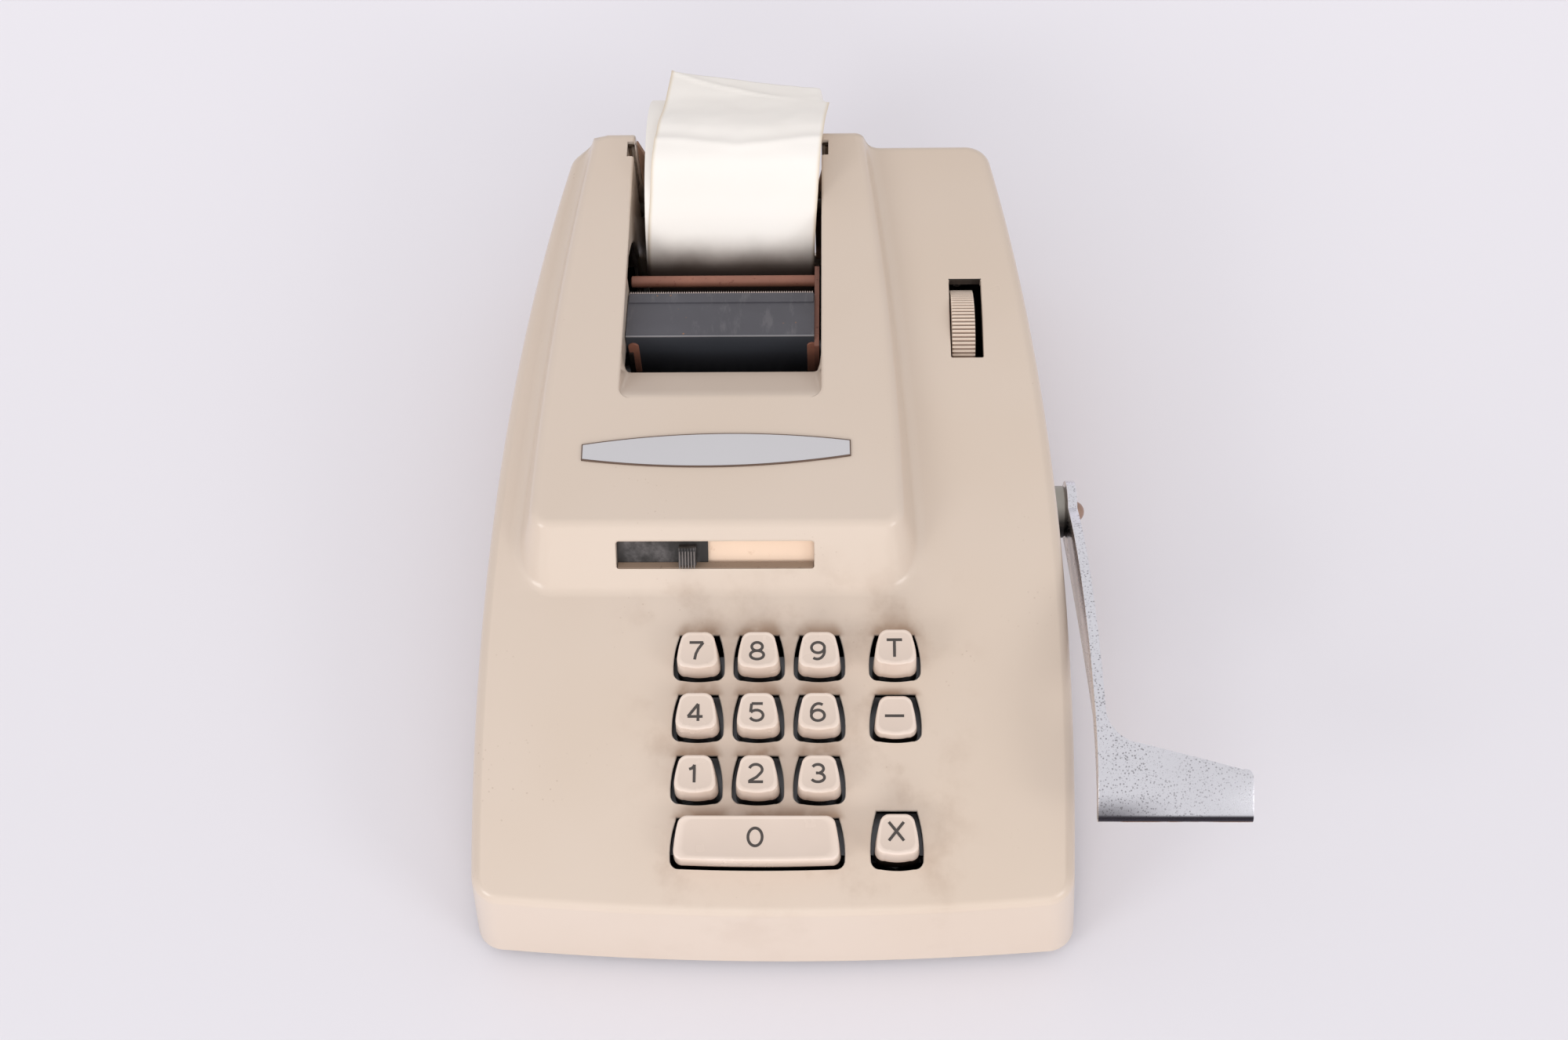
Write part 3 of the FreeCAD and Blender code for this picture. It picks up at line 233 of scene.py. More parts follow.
def repeated(name, piece, material, count, step=(0.0, 0.0, 0.0), turn=(0.0, 0.0, 0.0)):
    """Turns a small piece into a row or ring of copies with Geometry Nodes."""
    tree = bpy.data.node_groups.new("repeat_" + name, "GeometryNodeTree")
    wanted = {"Count": ("NodeSocketInt", count), "Step": ("NodeSocketVector", step),
              "Turn": ("NodeSocketVector", turn), "Material": ("NodeSocketMaterial", material)}
    for way in ("INPUT", "OUTPUT"):
        tree.interface.new_socket("Geometry", in_out=way, socket_type="NodeSocketGeometry")
    for socket, (kind, _) in wanted.items():
        tree.interface.new_socket(socket, in_out="INPUT", socket_type=kind)
    source, result, line, index, angle, copies, real, paint = (tree.nodes.new(kind) for kind in (
        "NodeGroupInput", "NodeGroupOutput", "GeometryNodeMeshLine", "GeometryNodeInputIndex",
        "ShaderNodeVectorMath", "GeometryNodeInstanceOnPoints", "GeometryNodeRealizeInstances",
        "GeometryNodeSetMaterial"))
    line.mode = "OFFSET"
    angle.operation = "SCALE"
    for start, way_out, end, way_in in (
            (source, "Count", line, "Count"), (source, "Step", line, "Offset"), (source, "Turn", angle, 0),
            (index, 0, angle, "Scale"), (line, 0, copies, "Points"), (source, "Geometry", copies, "Instance"),
            (angle, 0, copies, "Rotation"), (copies, 0, real, 0), (real, 0, paint, "Geometry"),
            (source, "Material", paint, "Material"), (paint, 0, result, 0)):
        tree.links.new(start.outputs[way_out], end.inputs[way_in])
    modifier = piece.modifiers.new("repeat", "NODES")
    modifier.node_group = tree
    for item in tree.interface.items_tree:
        if item.in_out == "INPUT" and item.name in wanted:
            modifier[item.identifier] = wanted[item.name][1]
    view = bpy.context.evaluated_depsgraph_get()
    mesh = bpy.data.meshes.new_from_object(piece.evaluated_get(view))
    piece.modifiers.remove(modifier)
    piece.data = mesh
    piece.name = name
    return piece


def bands(rows, count, turn_rows=False, turn_spots=True):
    """Faces between rows of points, each row as long as count, closed round or open."""
    faces = []
    for row in range(rows if turn_rows else rows - 1):
        low, high = row * count, (row + 1) % rows * count
        for spot in range(count if turn_spots else count - 1):
            after = (spot + 1) % count
            faces.append((low + spot, low + after, high + after, high + spot))
    return faces


def small_block(name, rings, degrees=35):
    """A closed piece from rings of points, joined in order and capped at both ends."""
    count = len(rings[0])
    vertices = [point for ring in rings for point in ring]
    faces = [tuple(range(count))[::-1], tuple(range(len(vertices) - count, len(vertices)))]
    return closed_piece(name, vertices, faces + bands(len(rings), count), degrees)


def slab(name, outline, x0, x1):
    """A closed piece between two planes of X from its outline in Y and Z."""
    return small_block(name, [[at(x, y, z) for y, z in outline] for x in (x0, x1)])


def turned(name, profile, y, z, steps=48, ring=False):
    """A piece turned round an axis along X from pairs of X and radius; a ring's profile closes on itself."""
    count = len(profile)
    vertices = []
    for step in range(steps):
        angle = 2 * math.pi * step / steps
        along, upward = math.cos(angle), math.sin(angle)
        vertices += [at(x, y + radius * along, z + radius * upward) for x, radius in profile]
    faces = bands(steps, count, True, ring)
    if not ring:
        faces += [tuple(step * count + place for step in range(steps)) for place in (0, count - 1)]
    return closed_piece(name, vertices, faces)


def dress(material, *nodes):
    """Gives CAD nodes that stay a finish of their own."""
    for node in nodes:
        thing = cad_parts[node]
        thing.data.materials.clear()
        thing.data.materials.append(material)


class Value:
    """A shader value that adds its Math nodes as it is used in an expression."""

    def __init__(self, shader, socket):
        self.shader = shader
        self.socket = socket

    def __add__(self, other):
        return self.shader.math("ADD", self, other)

    __radd__ = __add__

    def __sub__(self, other):
        return self.shader.math("SUBTRACT", self, other)

    def __rsub__(self, other):
        return self.shader.math("SUBTRACT", other, self)

    def __mul__(self, other):
        return self.shader.math("MULTIPLY", self, other)

    __rmul__ = __mul__

    def __truediv__(self, other):
        return self.shader.math("DIVIDE", self, other)

    def top(self, other):
        return self.shader.math("MAXIMUM", self, other)

    def low(self, other):
        return self.shader.math("MINIMUM", self, other)

    def size(self):
        return self.shader.math("ABSOLUTE", self)

    def between(self, start, end):
        """0 below start, 1 above end and a smooth step in between."""
        settings = {"interpolation_type": "SMOOTHSTEP"}
        return self.shader.node("ShaderNodeMapRange", settings, {0: self, 1: start, 2: end, 3: 0.0, 4: 1.0})

    def under(self, start, end):
        """1 below start, 0 above end."""
        return 1.0 - self.between(start, end)

    def within(self, middle, inner, outer):
        """1 up to the distance inner from middle, 0 beyond outer."""
        return (self - middle).size().under(inner, outer)


class Shader:
    """One procedural material that reads Object coordinates."""

    def __init__(self, name, **sockets):
        self.material = bpy.data.materials.new(name)
        self.material.use_nodes = True
        self.nodes = self.material.node_tree.nodes
        self.links = self.material.node_tree.links
        self.surface = self.nodes["Principled BSDF"]
        self.place = self.node("ShaderNodeTexCoord", {}, {}, "Object")
        self.set(**sockets)

    def join(self, socket, value):
        if isinstance(value, Value):
            self.links.new(value.socket, socket)
        elif hasattr(socket.default_value, "__len__") and len(socket.default_value) == 4 and len(value) == 3:
            socket.default_value = (*value, 1.0)
        else:
            socket.default_value = value

    def node(self, kind, settings, sockets, output=0):
        """Adds a node, its settings first, and gives one of its outputs as a value."""
        made = self.nodes.new(kind)
        for key, value in settings.items():
            setattr(made, key, value)
        for key, value in sockets.items():
            self.join(made.inputs[key], value)
        return Value(self, made.outputs[output])

    def math(self, operation, first, second=0.0):
        return self.node("ShaderNodeMath", {"operation": operation}, {0: first, 1: second})

    def axis(self, letter):
        return self.node("ShaderNodeSeparateXYZ", {}, {0: self.place}, letter)

    def case(self):
        """The case's own coordinates, in millimetres."""
        return self.axis("X") / MM + ORIGIN_X, self.axis("Y") / MM + ORIGIN_Y, self.axis("Z") / MM

    def noise(self, scale, detail=3.0, rough=0.5, stretch=None):
        place = self.place
        if stretch:
            place = self.node("ShaderNodeMapping", {}, {"Vector": place, "Scale": stretch})
        sockets = {"Vector": place, "Scale": scale, "Detail": detail, "Roughness": rough}
        return self.node("ShaderNodeTexNoise", {}, sockets)

    def specks(self, scale, reach):
        """1 in small spots and 0 between them."""
        spot = self.node("ShaderNodeTexVoronoi", {}, {"Vector": self.place, "Scale": scale})
        return spot.under(reach * 0.5, reach)

    def mix(self, share, first, second):
        return self.node("ShaderNodeMix", {"data_type": "RGBA"}, {0: share, 6: first, 7: second}, 2)

    def bump(self, height, depth_mm, strength=1.0):
        sockets = {"Height": height, "Distance": depth_mm * MM, "Strength": strength}
        return self.node("ShaderNodeBump", {}, sockets)

    def set(self, **sockets):
        for key, value in sockets.items():
            self.join(self.surface.inputs[key.replace("_", " ")], value)


def linear(red, green, blue):
    """A colour given as it looks on screen, 0 to 255, for a shader."""
    tones = (tone / 255 for tone in (red, green, blue))
    return tuple(tone / 12.92 if tone < 0.04045 else ((tone + 0.055) / 1.055) ** 2.4 for tone in tones)


def tinted(colour, *shares):
    return tuple(tone * share for tone, share in zip(colour, shares))


def housing_finish(colour, grime):
    """Glossy moulded plastic, a little yellowed, with dirt rubbed in round the keys, painted shadows behind
    the keys and painted shade in the hollows.
    """
    s = Shader("housing", Coat_Roughness=0.08)
    x, y, z = s.case()
    tone = s.mix(s.noise(9.0, 3.0).between(0.35, 0.7), colour, tinted(colour, 0.965, 0.95, 0.925))
    near = x.within(8.0, 38.0, 64.0) * y.within(52.0, 38.0, 62.0)
    smudge = s.noise(55.0, 5.0, 0.6).between(0.48, 0.75) * near
    tone = s.mix(smudge * 0.3, tone, grime)
    keys = {name: (kx, ky + length / 2, width / 2) for name, _, kx, ky, width, length, _ in key_layout()}

    def behind(across, along, half, reach):
        """The painted shadow behind a key, a tongue which narrows away from it."""
        edge = half - 0.4 - across.size() - along * 0.45
        return (along / reach).under(-0.1, 1.0) * along.between(-1.2, 0.4) * edge.between(-1.6, 2.2)

    # Painted shadows behind the keys: one tongue is repeated over the rows and columns of the digits; the
    # other keys have their own.
    x0, y0, half = keys["1"]
    pitch = keys["2"][0] - x0
    row = keys["4"][1] - y0
    grid_x = (s.math("FRACT", (x - x0) / pitch + 0.5) - 0.5) * pitch
    grid_y = s.math("FRACT", (y - y0) / row + 0.25) * row - 0.25 * row
    inside = ((x - (x0 + pitch)).size() * -1.0 + 1.5 * pitch).between(-0.1, 0.1)
    inside = inside * (y - y0 + 5.0).between(-0.1, 0.1) * (y - y0 - 2.6 * row).under(-0.1, 0.1)
    shade = behind(grid_x, grid_y, half, 6.5) * inside
    for name, reach in (("total", 8.0), ("minus", 3.0), ("0", 5.0)):
        kx, ky, wide = keys[name]
        shade = shade.top(behind(x - kx, y - ky, wide, reach))
    # The shadows are painted in the dirt colour, broken up by noise.
    tone = s.mix(shade * s.noise(130.0, 3.0).between(0.15, 0.6) * 0.85, tone, grime)
    # The scoop's floor, the insides of the key holes and the rear end of the wheel's slot lie in shade.
    sill = (y - SCOOP_Y).between(0.0, 5.0) * x.within(-18.0, 33.0, 34.5) * (y - WELL_Y).under(0.5, 1.5)
    tone = s.mix(sill * 0.3, tone, linear(160, 136, 120))
    yc, zc, radius = DECK_ARC
    sunk = s.math("SQRT", radius ** 2 - (y - yc) * (y - yc)) + zc - z
    field = x.within(3.0, 56.0, 60.0) * y.within(52.0, 42.0, 44.0)
    tone = s.mix(sunk.between(0.35, 1.1) * field * 0.95, tone, linear(34, 26, 22))
    slot_end = x.within(64.5, 5.5, 5.7) * y.within(WHEEL_SLOT[3], 0.15, 0.3)
    tone = s.mix(slot_end * 0.97, tone, linear(30, 24, 21))
    dust = s.specks(420.0, 0.16) * s.noise(30.0).between(0.55, 0.7)
    tone = s.mix(dust * 0.25, tone, grime)
    s.set(Base_Color=tone, Roughness=0.24 + s.noise(26.0, 4.0) * 0.12 + smudge * 0.1,
          Coat_Weight=0.25 - smudge * 0.15, Normal=s.bump(s.noise(700.0, 2.0), 0.01, 0.3))
    return s.material


def key_finish(colour):
    """Pale glossy plastic, brown at the foot, with painted shade darkening the top and the skirt below the
    deck; "level" runs from the skirt to the top.
    """
    s = Shader("key_plastic", Coat_Roughness=0.06)
    level = s.node("ShaderNodeAttribute", {"attribute_name": "level"}, {}, "Fac")
    tone = s.mix(s.noise(60.0, 4.0).between(0.4, 0.8), colour, tinted(colour, 0.95, 0.93, 0.9))
    # Painted shade: the top is darker than the skirt, mottled by noise.
    wear_and_shade = level.between(0.78, 1.3) * (0.75 + s.noise(35.0).between(0.3, 0.7) * 0.25)
    tone = s.mix(wear_and_shade, tone, tinted(colour, 0.85, 0.835, 0.82))
    tone = s.mix(level.under(0.05, 0.3) * 0.35, tone, linear(190, 150, 124))
    # Painted shade: below the deck the skirt goes near black, as in the hole's shadow.
    tone = s.mix(level.under(-0.3, 0.02), tone, linear(34, 26, 22))
    s.set(Base_Color=tone, Roughness=0.2 + s.noise(90.0) * 0.12, Coat_Weight=0.3,
          Normal=s.bump(s.noise(600.0), 0.01, 0.3))
    return s.material


def plain_finish(name, colour, rough=0.5, metallic=0.0, change=0.08, scale=60.0, wear=None, wear_share=0.0):
    """A painted, moulded or metal finish with cloudy colour, uneven gloss and small marks."""
    s = Shader(name, Metallic=metallic)
    cloud = s.noise(scale, 4.0, 0.55)
    tone = s.mix(cloud, tinted(colour, *[1 - change] * 3), tuple(min(1.0, c * (1 + change)) for c in colour))
    if wear:
        tone = s.mix(s.noise(scale * 6, 4.0, 0.7).between(0.6, 0.72) * wear_share, tone, wear)
    fine = s.noise(scale * 14, 2.0, 0.5)
    s.set(Base_Color=tone, Roughness=rough - 0.06 + cloud * 0.14, Normal=s.bump(fine, 0.012, 0.35))
    return s.material


def chrome_finish():
    """Worn chrome: cloudy patches, dark pits, a few rust spots, a painted dark reflection on the arm's front
    end, and on the grip's front edge a painted dark reflection over a painted highlight.
    """
    s = Shader("chrome", Metallic=1.0)
    x, y, z = s.case()
    cloud = s.noise(35.0, 4.0, 0.6)
    crowd = (s.noise(60.0, 3.0).between(0.35, 0.6) * 0.7 + x.within(106.0, 2.0, 9.0) + 0.15).low(1.0)
    pits = (s.specks(1050.0, 0.36) + s.specks(1500.0, 0.3) * 0.7).low(1.0) * crowd
    rust = s.specks(90.0, 0.07) * s.noise(25.0).between(0.5, 0.6)
    tone = s.mix(cloud, (0.76, 0.755, 0.805), (0.86, 0.855, 0.905))
    # Painted dark reflection on the front end of the arm.
    tone = s.mix(y.under(20.4, 27.0) * x.under(100.0, 124.0) * 0.85, tone, (0.16, 0.15, 0.17))
    tone = s.mix(pits * 0.65, tone, (0.16, 0.15, 0.16))
    tone = s.mix(rust, tone, linear(120, 66, 40))
    # Painted light on the grip's front edge: a dark reflection over a highlight streaked brown.
    front = y.under(20.7, 21.5) * z.under(62.8, 63.6)
    edge_highlight = s.mix(s.noise(120.0, 2.0).between(0.45, 0.6), (0.86, 0.82, 0.8), linear(176, 128, 84))
    tone = s.mix(front, tone, s.mix(z.between(61.0, 61.6), edge_highlight, (0.05, 0.045, 0.055)))
    s.set(Base_Color=tone, Roughness=0.14 + cloud * 0.12 + pits * 0.3)
    return s.material


def hub_finish():
    """Dark steel with a painted highlight that brightens it towards its top."""
    s = Shader("hub_black", Metallic=0.6)
    x, y, z = s.case()
    # Painted light: brighter towards the top.
    lit_top = ((z + y * 0.6) + s.noise(300.0, 3.0) * 2.0).between(122.0, 132.0)
    s.set(Base_Color=s.mix(lit_top, linear(30, 29, 30), linear(168, 165, 158)), Roughness=0.4)
    return s.material


def slide_finish():
    """Black lacquer, rubbed through to grey in the middle of the strip and black at its right end."""
    s = Shader("slide_black", Specular_IOR_Level=0.4)
    x, y, z = s.case()
    wear_and_shade = s.noise(60.0, 5.0, 0.65).between(0.35, 0.7) * x.between(-51.0, -46.0) * x.under(-24.5, -23.0)
    tone = s.mix(wear_and_shade, linear(46, 43, 42), linear(132, 126, 126))
    s.set(Base_Color=tone, Roughness=0.4 + wear_and_shade * 0.2, Normal=s.bump(s.noise(400.0, 3.0), 0.02, 0.3))
    return s.material


def plate_finish():
    """Dark enamel, scratched on top, with painted shade on the flange, darker low down, and a painted
    highlight along the fold.
    """
    s = Shader("black_enamel")
    x, y, z = s.case()
    scratch = s.noise(240.0, 4.0, 0.7, (1.0, 0.25, 1.0)).between(0.52, 0.7)
    cloud = s.noise(70.0, 4.0)
    tone = s.mix(cloud, linear(74, 72, 77), linear(92, 91, 97))
    tone = s.mix(scratch * 0.3, tone, linear(124, 121, 124))
    tone = s.mix(s.specks(240.0, 0.12) * cloud.between(0.5, 0.6) * 0.7, tone, linear(150, 110, 80))
    # Painted shade: the forward-facing flange is darker, and darker still low down.
    flange = s.mix(z.between(58.0, 74.0), linear(46, 46, 50), linear(58, 60, 66))
    tone = s.mix(y.between(FOLD_Y + 0.2, FOLD_Y + 0.9), flange, tone)
    # Painted highlight along the fold, which is also made glossier and more metallic.
    fold = y.within(FOLD_Y, 0.25, 0.5) * z.between(FOLD_Z - 0.7, FOLD_Z - 0.3)
    tone = s.mix(fold * (0.6 + cloud * 0.4), tone, linear(176, 174, 178))
    s.set(Base_Color=tone, Roughness=0.42 + cloud * 0.15 - fold * 0.1, Metallic=0.15 + fold * 0.5,
          Normal=s.bump(1.0 - scratch, 0.02, 0.4))
    return s.material


def bracket_finish():
    """Red-brown enamel on the right plate, and the left one dark in the shade of the wall."""
    s = Shader("bracket_enamel")
    x, y, z = s.case()
    tone = s.mix(s.noise(90.0, 4.0), linear(120, 74, 60), linear(146, 100, 84))
    tone = s.mix(s.noise(500.0, 4.0, 0.7).between(0.6, 0.72) * 0.7, tone, linear(90, 50, 36))
    s.set(Base_Color=s.mix(x.under(-30.0, -20.0), tone, linear(40, 34, 31)), Roughness=0.5)
    return s.material


def paper_finish(name, colour, layered=False):
    """Slightly yellowed paper with painted shade: darker and browner low down where it dives behind the guide
    bar.
    """
    s = Shader(name, Specular_IOR_Level=0.25)
    x, y, z = s.case()
    tone = s.mix(s.noise(24.0, 4.0), colour, tinted(colour, 0.97, 0.95, 0.92))
    half = ROLL_WIDTH / 2
    if layered:
        across, upward = y - ROLL_Y, z - ROLL_Z
        reach = s.math("SQRT", across * across + upward * upward)
        rings = s.math("SINE", reach * 9.0 + s.noise(40.0) * 2.0) * 0.5 + 0.5
        ends = (x - (ROLL_LEFT + half)).size().between(half - 0.25, half - 0.05)
        tone = s.mix(rings * ends * 0.5, tone, linear(206, 186, 158))
    else:
        across = x - (TAPE_LEFT + half) - (y - TAPE_FOOT_Y) * 0.1
        tone = s.mix(across.size().between(half - 1.6, half + 0.4) * 0.6, tone, linear(226, 200, 160))
    # Painted shade low on the front of the roll and the tape, where they dive behind the bar.
    front = y.under(238.0, 250.0)
    tone = s.mix(z.under(66.0, 82.0) * front * 0.5, tone, linear(150, 126, 106))
    tone = s.mix((z + s.noise(60.0) * 5.0).under(68.0, 82.5) * front * 0.94, tone, linear(66, 50, 42))
    s.set(Base_Color=tone, Roughness=0.75 + s.noise(90.0) * 0.15,
          Normal=s.bump(s.noise(260.0, 5.0), 0.03, 0.5))
    return s.material


def setting(name, description, value, **more):
    """A number that the user can change, or a colour, given as it looks on screen."""
    if isinstance(value, tuple):
        return FloatVectorProperty(name=name, description=description, subtype="COLOR", size=3,
                                   default=linear(*value))
    return FloatProperty(name=name, description=description, default=value, **more)


class StageSettings(bpy.types.PropertyGroup):
    floor_colour: setting("Floor", "Colour of the floor", (240, 237, 243))
    sky: setting("Sky", "Strength of the even light from all round", 0.77)
    lamp: setting("Lamps", "Power of the soft lamp on the left, less on the right", 4.5, unit="POWER")
    fill: setting("Fill", "Power of the large lamp in front", 11.0, unit="POWER")


class CoverSettings(bpy.types.PropertyGroup):
    colour: setting("Housing", "Colour of the moulded housing", (216, 199, 184))
    # Its colour paints the dirt and also the painted shadows behind the keys.
    grime: setting("Grime", "Colour of the grime round the keys", (150, 116, 88))


class PaperSettings(bpy.types.PropertyGroup):
    colour: setting("Paper", "Colour of the paper", (250, 246, 242))
    crumple_mm: setting("Crumple", "Height of the tape's creases, in millimetres", 1.1)


class KeySettings(bpy.types.PropertyGroup):
    colour: setting("Keys", "Colour of the key caps", (230, 212, 199))
    ink: setting("Legends", "Colour of the digits", (70, 63, 59))
    round_mm: setting("Rim", "Radius of the cap's top edge, in millimetres", 0.7)
    legend_mm: setting("Digits", "Height of the digits, in millimetres", 6.0)
    line_mm: setting("Line", "Line width of the digits, in millimetres", 0.88)
    steps: IntProperty(name="Steps", description="Points along each bowed side of a cap", default=12, min=4)


class ADDING_OT_stage(bpy.types.Operator):
    """Floor, lamps and camera"""
    bl_idname = "adding.stage"
    bl_label = "Stage"

    def execute(self, context):
        settings = context.scene.adding_stage
        floor = make_object("floor", [(-4, -4, 0), (4, -4, 0), (4, 4, 0), (-4, 4, 0)], [(0, 1, 2, 3)], False)
        paper = Shader("floor_paper", Roughness=0.85, Specular_IOR_Level=0.1)
        # Painted light: the floor is darker in front and lighter at the rear.
        front, rear = (tinted(settings.floor_colour, share, share, share) for share in (0.9, 1.09))
        paper.set(Base_Color=paper.mix(paper.axis("Y").between(-0.25, 0.5), front, rear))
        floor.data.materials.append(paper.material)
        self.world(context, settings.sky)
        self.lamp(context, "left_lamp", (-1.15, -0.95, 0.85), 0.55, settings.lamp)
        self.lamp(context, "right_lamp", (1.15, -0.95, 0.85), 0.55, settings.lamp * 0.85)
        self.lamp(context, "front_fill", (0.0, -1.6, 0.45), 1.2, settings.fill).visible_glossy = False
        self.camera(context)
        context.scene.view_settings.view_transform = "Standard"
        return {"FINISHED"}

    def world(self, context, strength):
        """An even pale room with a darker band low in front, which the chrome mirrors."""
        world = bpy.data.worlds.new("studio")
        world.use_nodes = True
        nodes, links = world.node_tree.nodes, world.node_tree.links
        axes = nodes.new("ShaderNodeSeparateXYZ")
        links.new(nodes.new("ShaderNodeTexCoord").outputs["Generated"], axes.inputs[0])
        lighter, power = nodes.new("ShaderNodeMath"), nodes.new("ShaderNodeMath")
        lighter.operation, power.operation = "MAXIMUM", "MULTIPLY"
        ramps = {"Z": (0.12, 0.3, 0.16, 1.0), "Y": (-0.7, -0.2, 0.0, 1.0)}
        for socket, (axis, limits) in enumerate(ramps.items()):
            band = nodes.new("ShaderNodeMapRange")
            band.interpolation_type = "SMOOTHSTEP"
            for place, limit in enumerate(limits, 1):
                band.inputs[place].default_value = limit
            links.new(axes.outputs[axis], band.inputs[0])
            links.new(band.outputs[0], lighter.inputs[socket])
        power.inputs[1].default_value = strength
        links.new(lighter.outputs[0], power.inputs[0])
        background = nodes["Background"]
        background.inputs["Color"].default_value = (1.0, 0.99, 1.0, 1.0)
        links.new(power.outputs[0], background.inputs["Strength"])
        context.scene.world = world

    def lamp(self, context, name, place, size, power):
        """A square lamp that points at the machine."""
        light = bpy.data.lights.new(name, "AREA")
        light.shape = "SQUARE"
        light.size = size
        light.energy = power
        thing = bpy.data.objects.new(name, light)
        thing.location = place
        thing.rotation_euler = (Vector((0, 0, 0.03)) - Vector(place)).to_track_quat("-Z", "Y").to_euler()
        context.scene.collection.objects.link(thing)
        return thing

    def camera(self, context):
        turn = Matrix.Rotation(CAMERA_YAW, 3, "Z")
        forward = turn @ Vector((0, math.cos(CAMERA_PITCH), -math.sin(CAMERA_PITCH)))
        right = turn @ Vector((1, 0, 0))
        up = right.cross(forward)
        across = math.cos(CAMERA_ROLL) * right + math.sin(CAMERA_ROLL) * up
        upright = math.cos(CAMERA_ROLL) * up - math.sin(CAMERA_ROLL) * right
        lens = bpy.data.cameras.new("camera")
        lens.sensor_width = SENSOR_WIDTH
        lens.lens = CAMERA_LENS
        camera = bpy.data.objects.new("camera", lens)
        basis = Matrix((across, upright, -forward)).transposed().to_4x4()
        camera.matrix_world = Matrix.Translation(at(*CAMERA_PLACE)) @ basis
        context.scene.collection.objects.link(camera)
        context.scene.camera = camera


def soft_step(value):
    share = min(1.0, max(0.0, value))
    return share * share * (3 - 2 * share)


def soft_ramp(value, reach):
    """0 before, value after, and a smooth bend of the given reach between."""
    if value <= -reach:
        return 0.0
    if value >= reach:
        return value
    return (value + reach) ** 2 / (4 * reach)


def rounded_over(top, u, slope, radius):
    """Height of an edge rolled over from a level top, u inside the edge; slope is the fall outside it."""
    turn = math.atan(slope)
    reach = radius * math.tan(turn / 2)
    if u >= reach:
        return top
    if u <= -reach * math.cos(turn):
        return top + u * slope
    return top - radius + math.sqrt(max(radius ** 2 - (reach - u) ** 2, 0.0))


def rounded_foot(rise, slope, radius):
    """Height over a base of a surface that rises at slope from it, with a hollow rounding at its foot."""
    turn = math.atan(slope)
    reach = radius * math.tan(turn / 2)
    v = rise / slope
    if v <= -reach:
        return 0.0
    if v >= reach * math.cos(turn):
        return rise
    return radius - math.sqrt(max(radius ** 2 - (v + reach) ** 2, 0.0))


def hump_half(y):
    """Half the width of the hump's foot, between its two bowed sides."""
    return HUMP_HALF - HUMP_SIDE + math.sqrt(HUMP_SIDE ** 2 - (y - HUMP_WIDEST_Y) ** 2)


def hump_crest(y):
    return DECK_REAR_Z + HUMP_SLOPE * soft_ramp(y - HUMP_FRONT_Y, HUMP_BEND)


def hump_reach(x, y):
    """Distance inside the hump's top edge, and the slope of the hump's side there."""
    rise = hump_crest(y) - DECK_REAR_Z
    side = hump_half(y) - abs(x - HUMP_X) - rise * math.tan(math.radians(SIDE_LEAN))
    front = y - HUMP_FRONT_Y
    if side < HUMP_CORNER and front < HUMP_CORNER:
        u = HUMP_CORNER - math.hypot(HUMP_CORNER - side, HUMP_CORNER - front)
        share = math.atan2(HUMP_CORNER - front, HUMP_CORNER - side) / (math.pi / 2)
    else:
        u = min(side, front)
        share = 1.0 if front < side else 0.0
    lean = SIDE_LEAN + (FRONT_LEAN - SIDE_LEAN) * soft_step(share)
    return u, 1 / math.tan(math.radians(lean))


def inside_from(front_y, corner, x, y):
    """Distance inside the outline of the scoop or the well, which is open to the rear."""
    side = min(x - SCOOP_LEFT, SCOOP_RIGHT - x)
    front = y - front_y
    if side < corner and front < corner:
        return corner - math.hypot(corner - side, corner - front)
    return min(side, front)


def well_inside(x, y):
    return inside_from(WELL_Y, WELL_CORNER, x, y)


def well_cut_away(x, y):
    """Whether a plan point lies in the open well or in one of the two spindle slots."""
    if well_inside(x, y) > 0:
        return True
    left = SCOOP_LEFT - SLOT_DEEP < x < SCOOP_LEFT + 1
    right = SCOOP_RIGHT - 1 < x < SCOOP_RIGHT + SLOT_DEEP
    return abs(y - SPINDLE_Y) < SLOT_RADIUS and (left or right)


def form_z(x, y):
    """Height of the deck and hump, with the hump's rounded rim and foot."""
    u, slope = hump_reach(x, y)
    hump = rounded_over(hump_crest(y), u, slope, HUMP_RIM)
    base = deck_z(y)
    relative = slope - (0.2 if slope < 1.6 else 0.0)
    return base + rounded_foot(hump - base, relative, HUMP_FOOT)


def cover_z(x, y):
    """Height of the housing's outside, with the scoop and the well's rolled edge."""
    z = form_z(x, y)
    q = inside_from(SCOOP_Y, SCOOP_CORNER, x, y)
    depth = 0.5 * soft_ramp(y - SCOOP_Y - 0.8, 1.2) * (1 - soft_step((y - WELL_Y - 0.5) / 2.5))
    depth = min(depth, SCOOP_DEPTH)
    if depth > 0.02 and q > -3:
        wall = rounded_over(z, -q, 9.0, min(1.1, depth * 0.45))
        floor = z - depth
        z = floor + rounded_foot(wall - floor, 9.0, min(1.4, depth * 0.35))
    inside = well_inside(x, y)
    if inside > -ROLLED:
        z -= ROLLED - math.sqrt(max(ROLLED ** 2 - (ROLLED + min(inside, 0.0)) ** 2, 0.0))
    return z


def slope_normal(x, y):
    step = 0.03
    across = (cover_z(x + step, y) - cover_z(x - step, y)) / (2 * step)
    along = (cover_z(x, y + step) - cover_z(x, y - step)) / (2 * step)
    return Vector((-across, -along, 1.0)).normalized()


SIDE_CENTRE = Vector((COVER_HALF - COVER_SIDE, COVER_WIDEST_Y))
FRONT_CENTRE = Vector((0.0, COVER_FRONT - COVER_BOW))


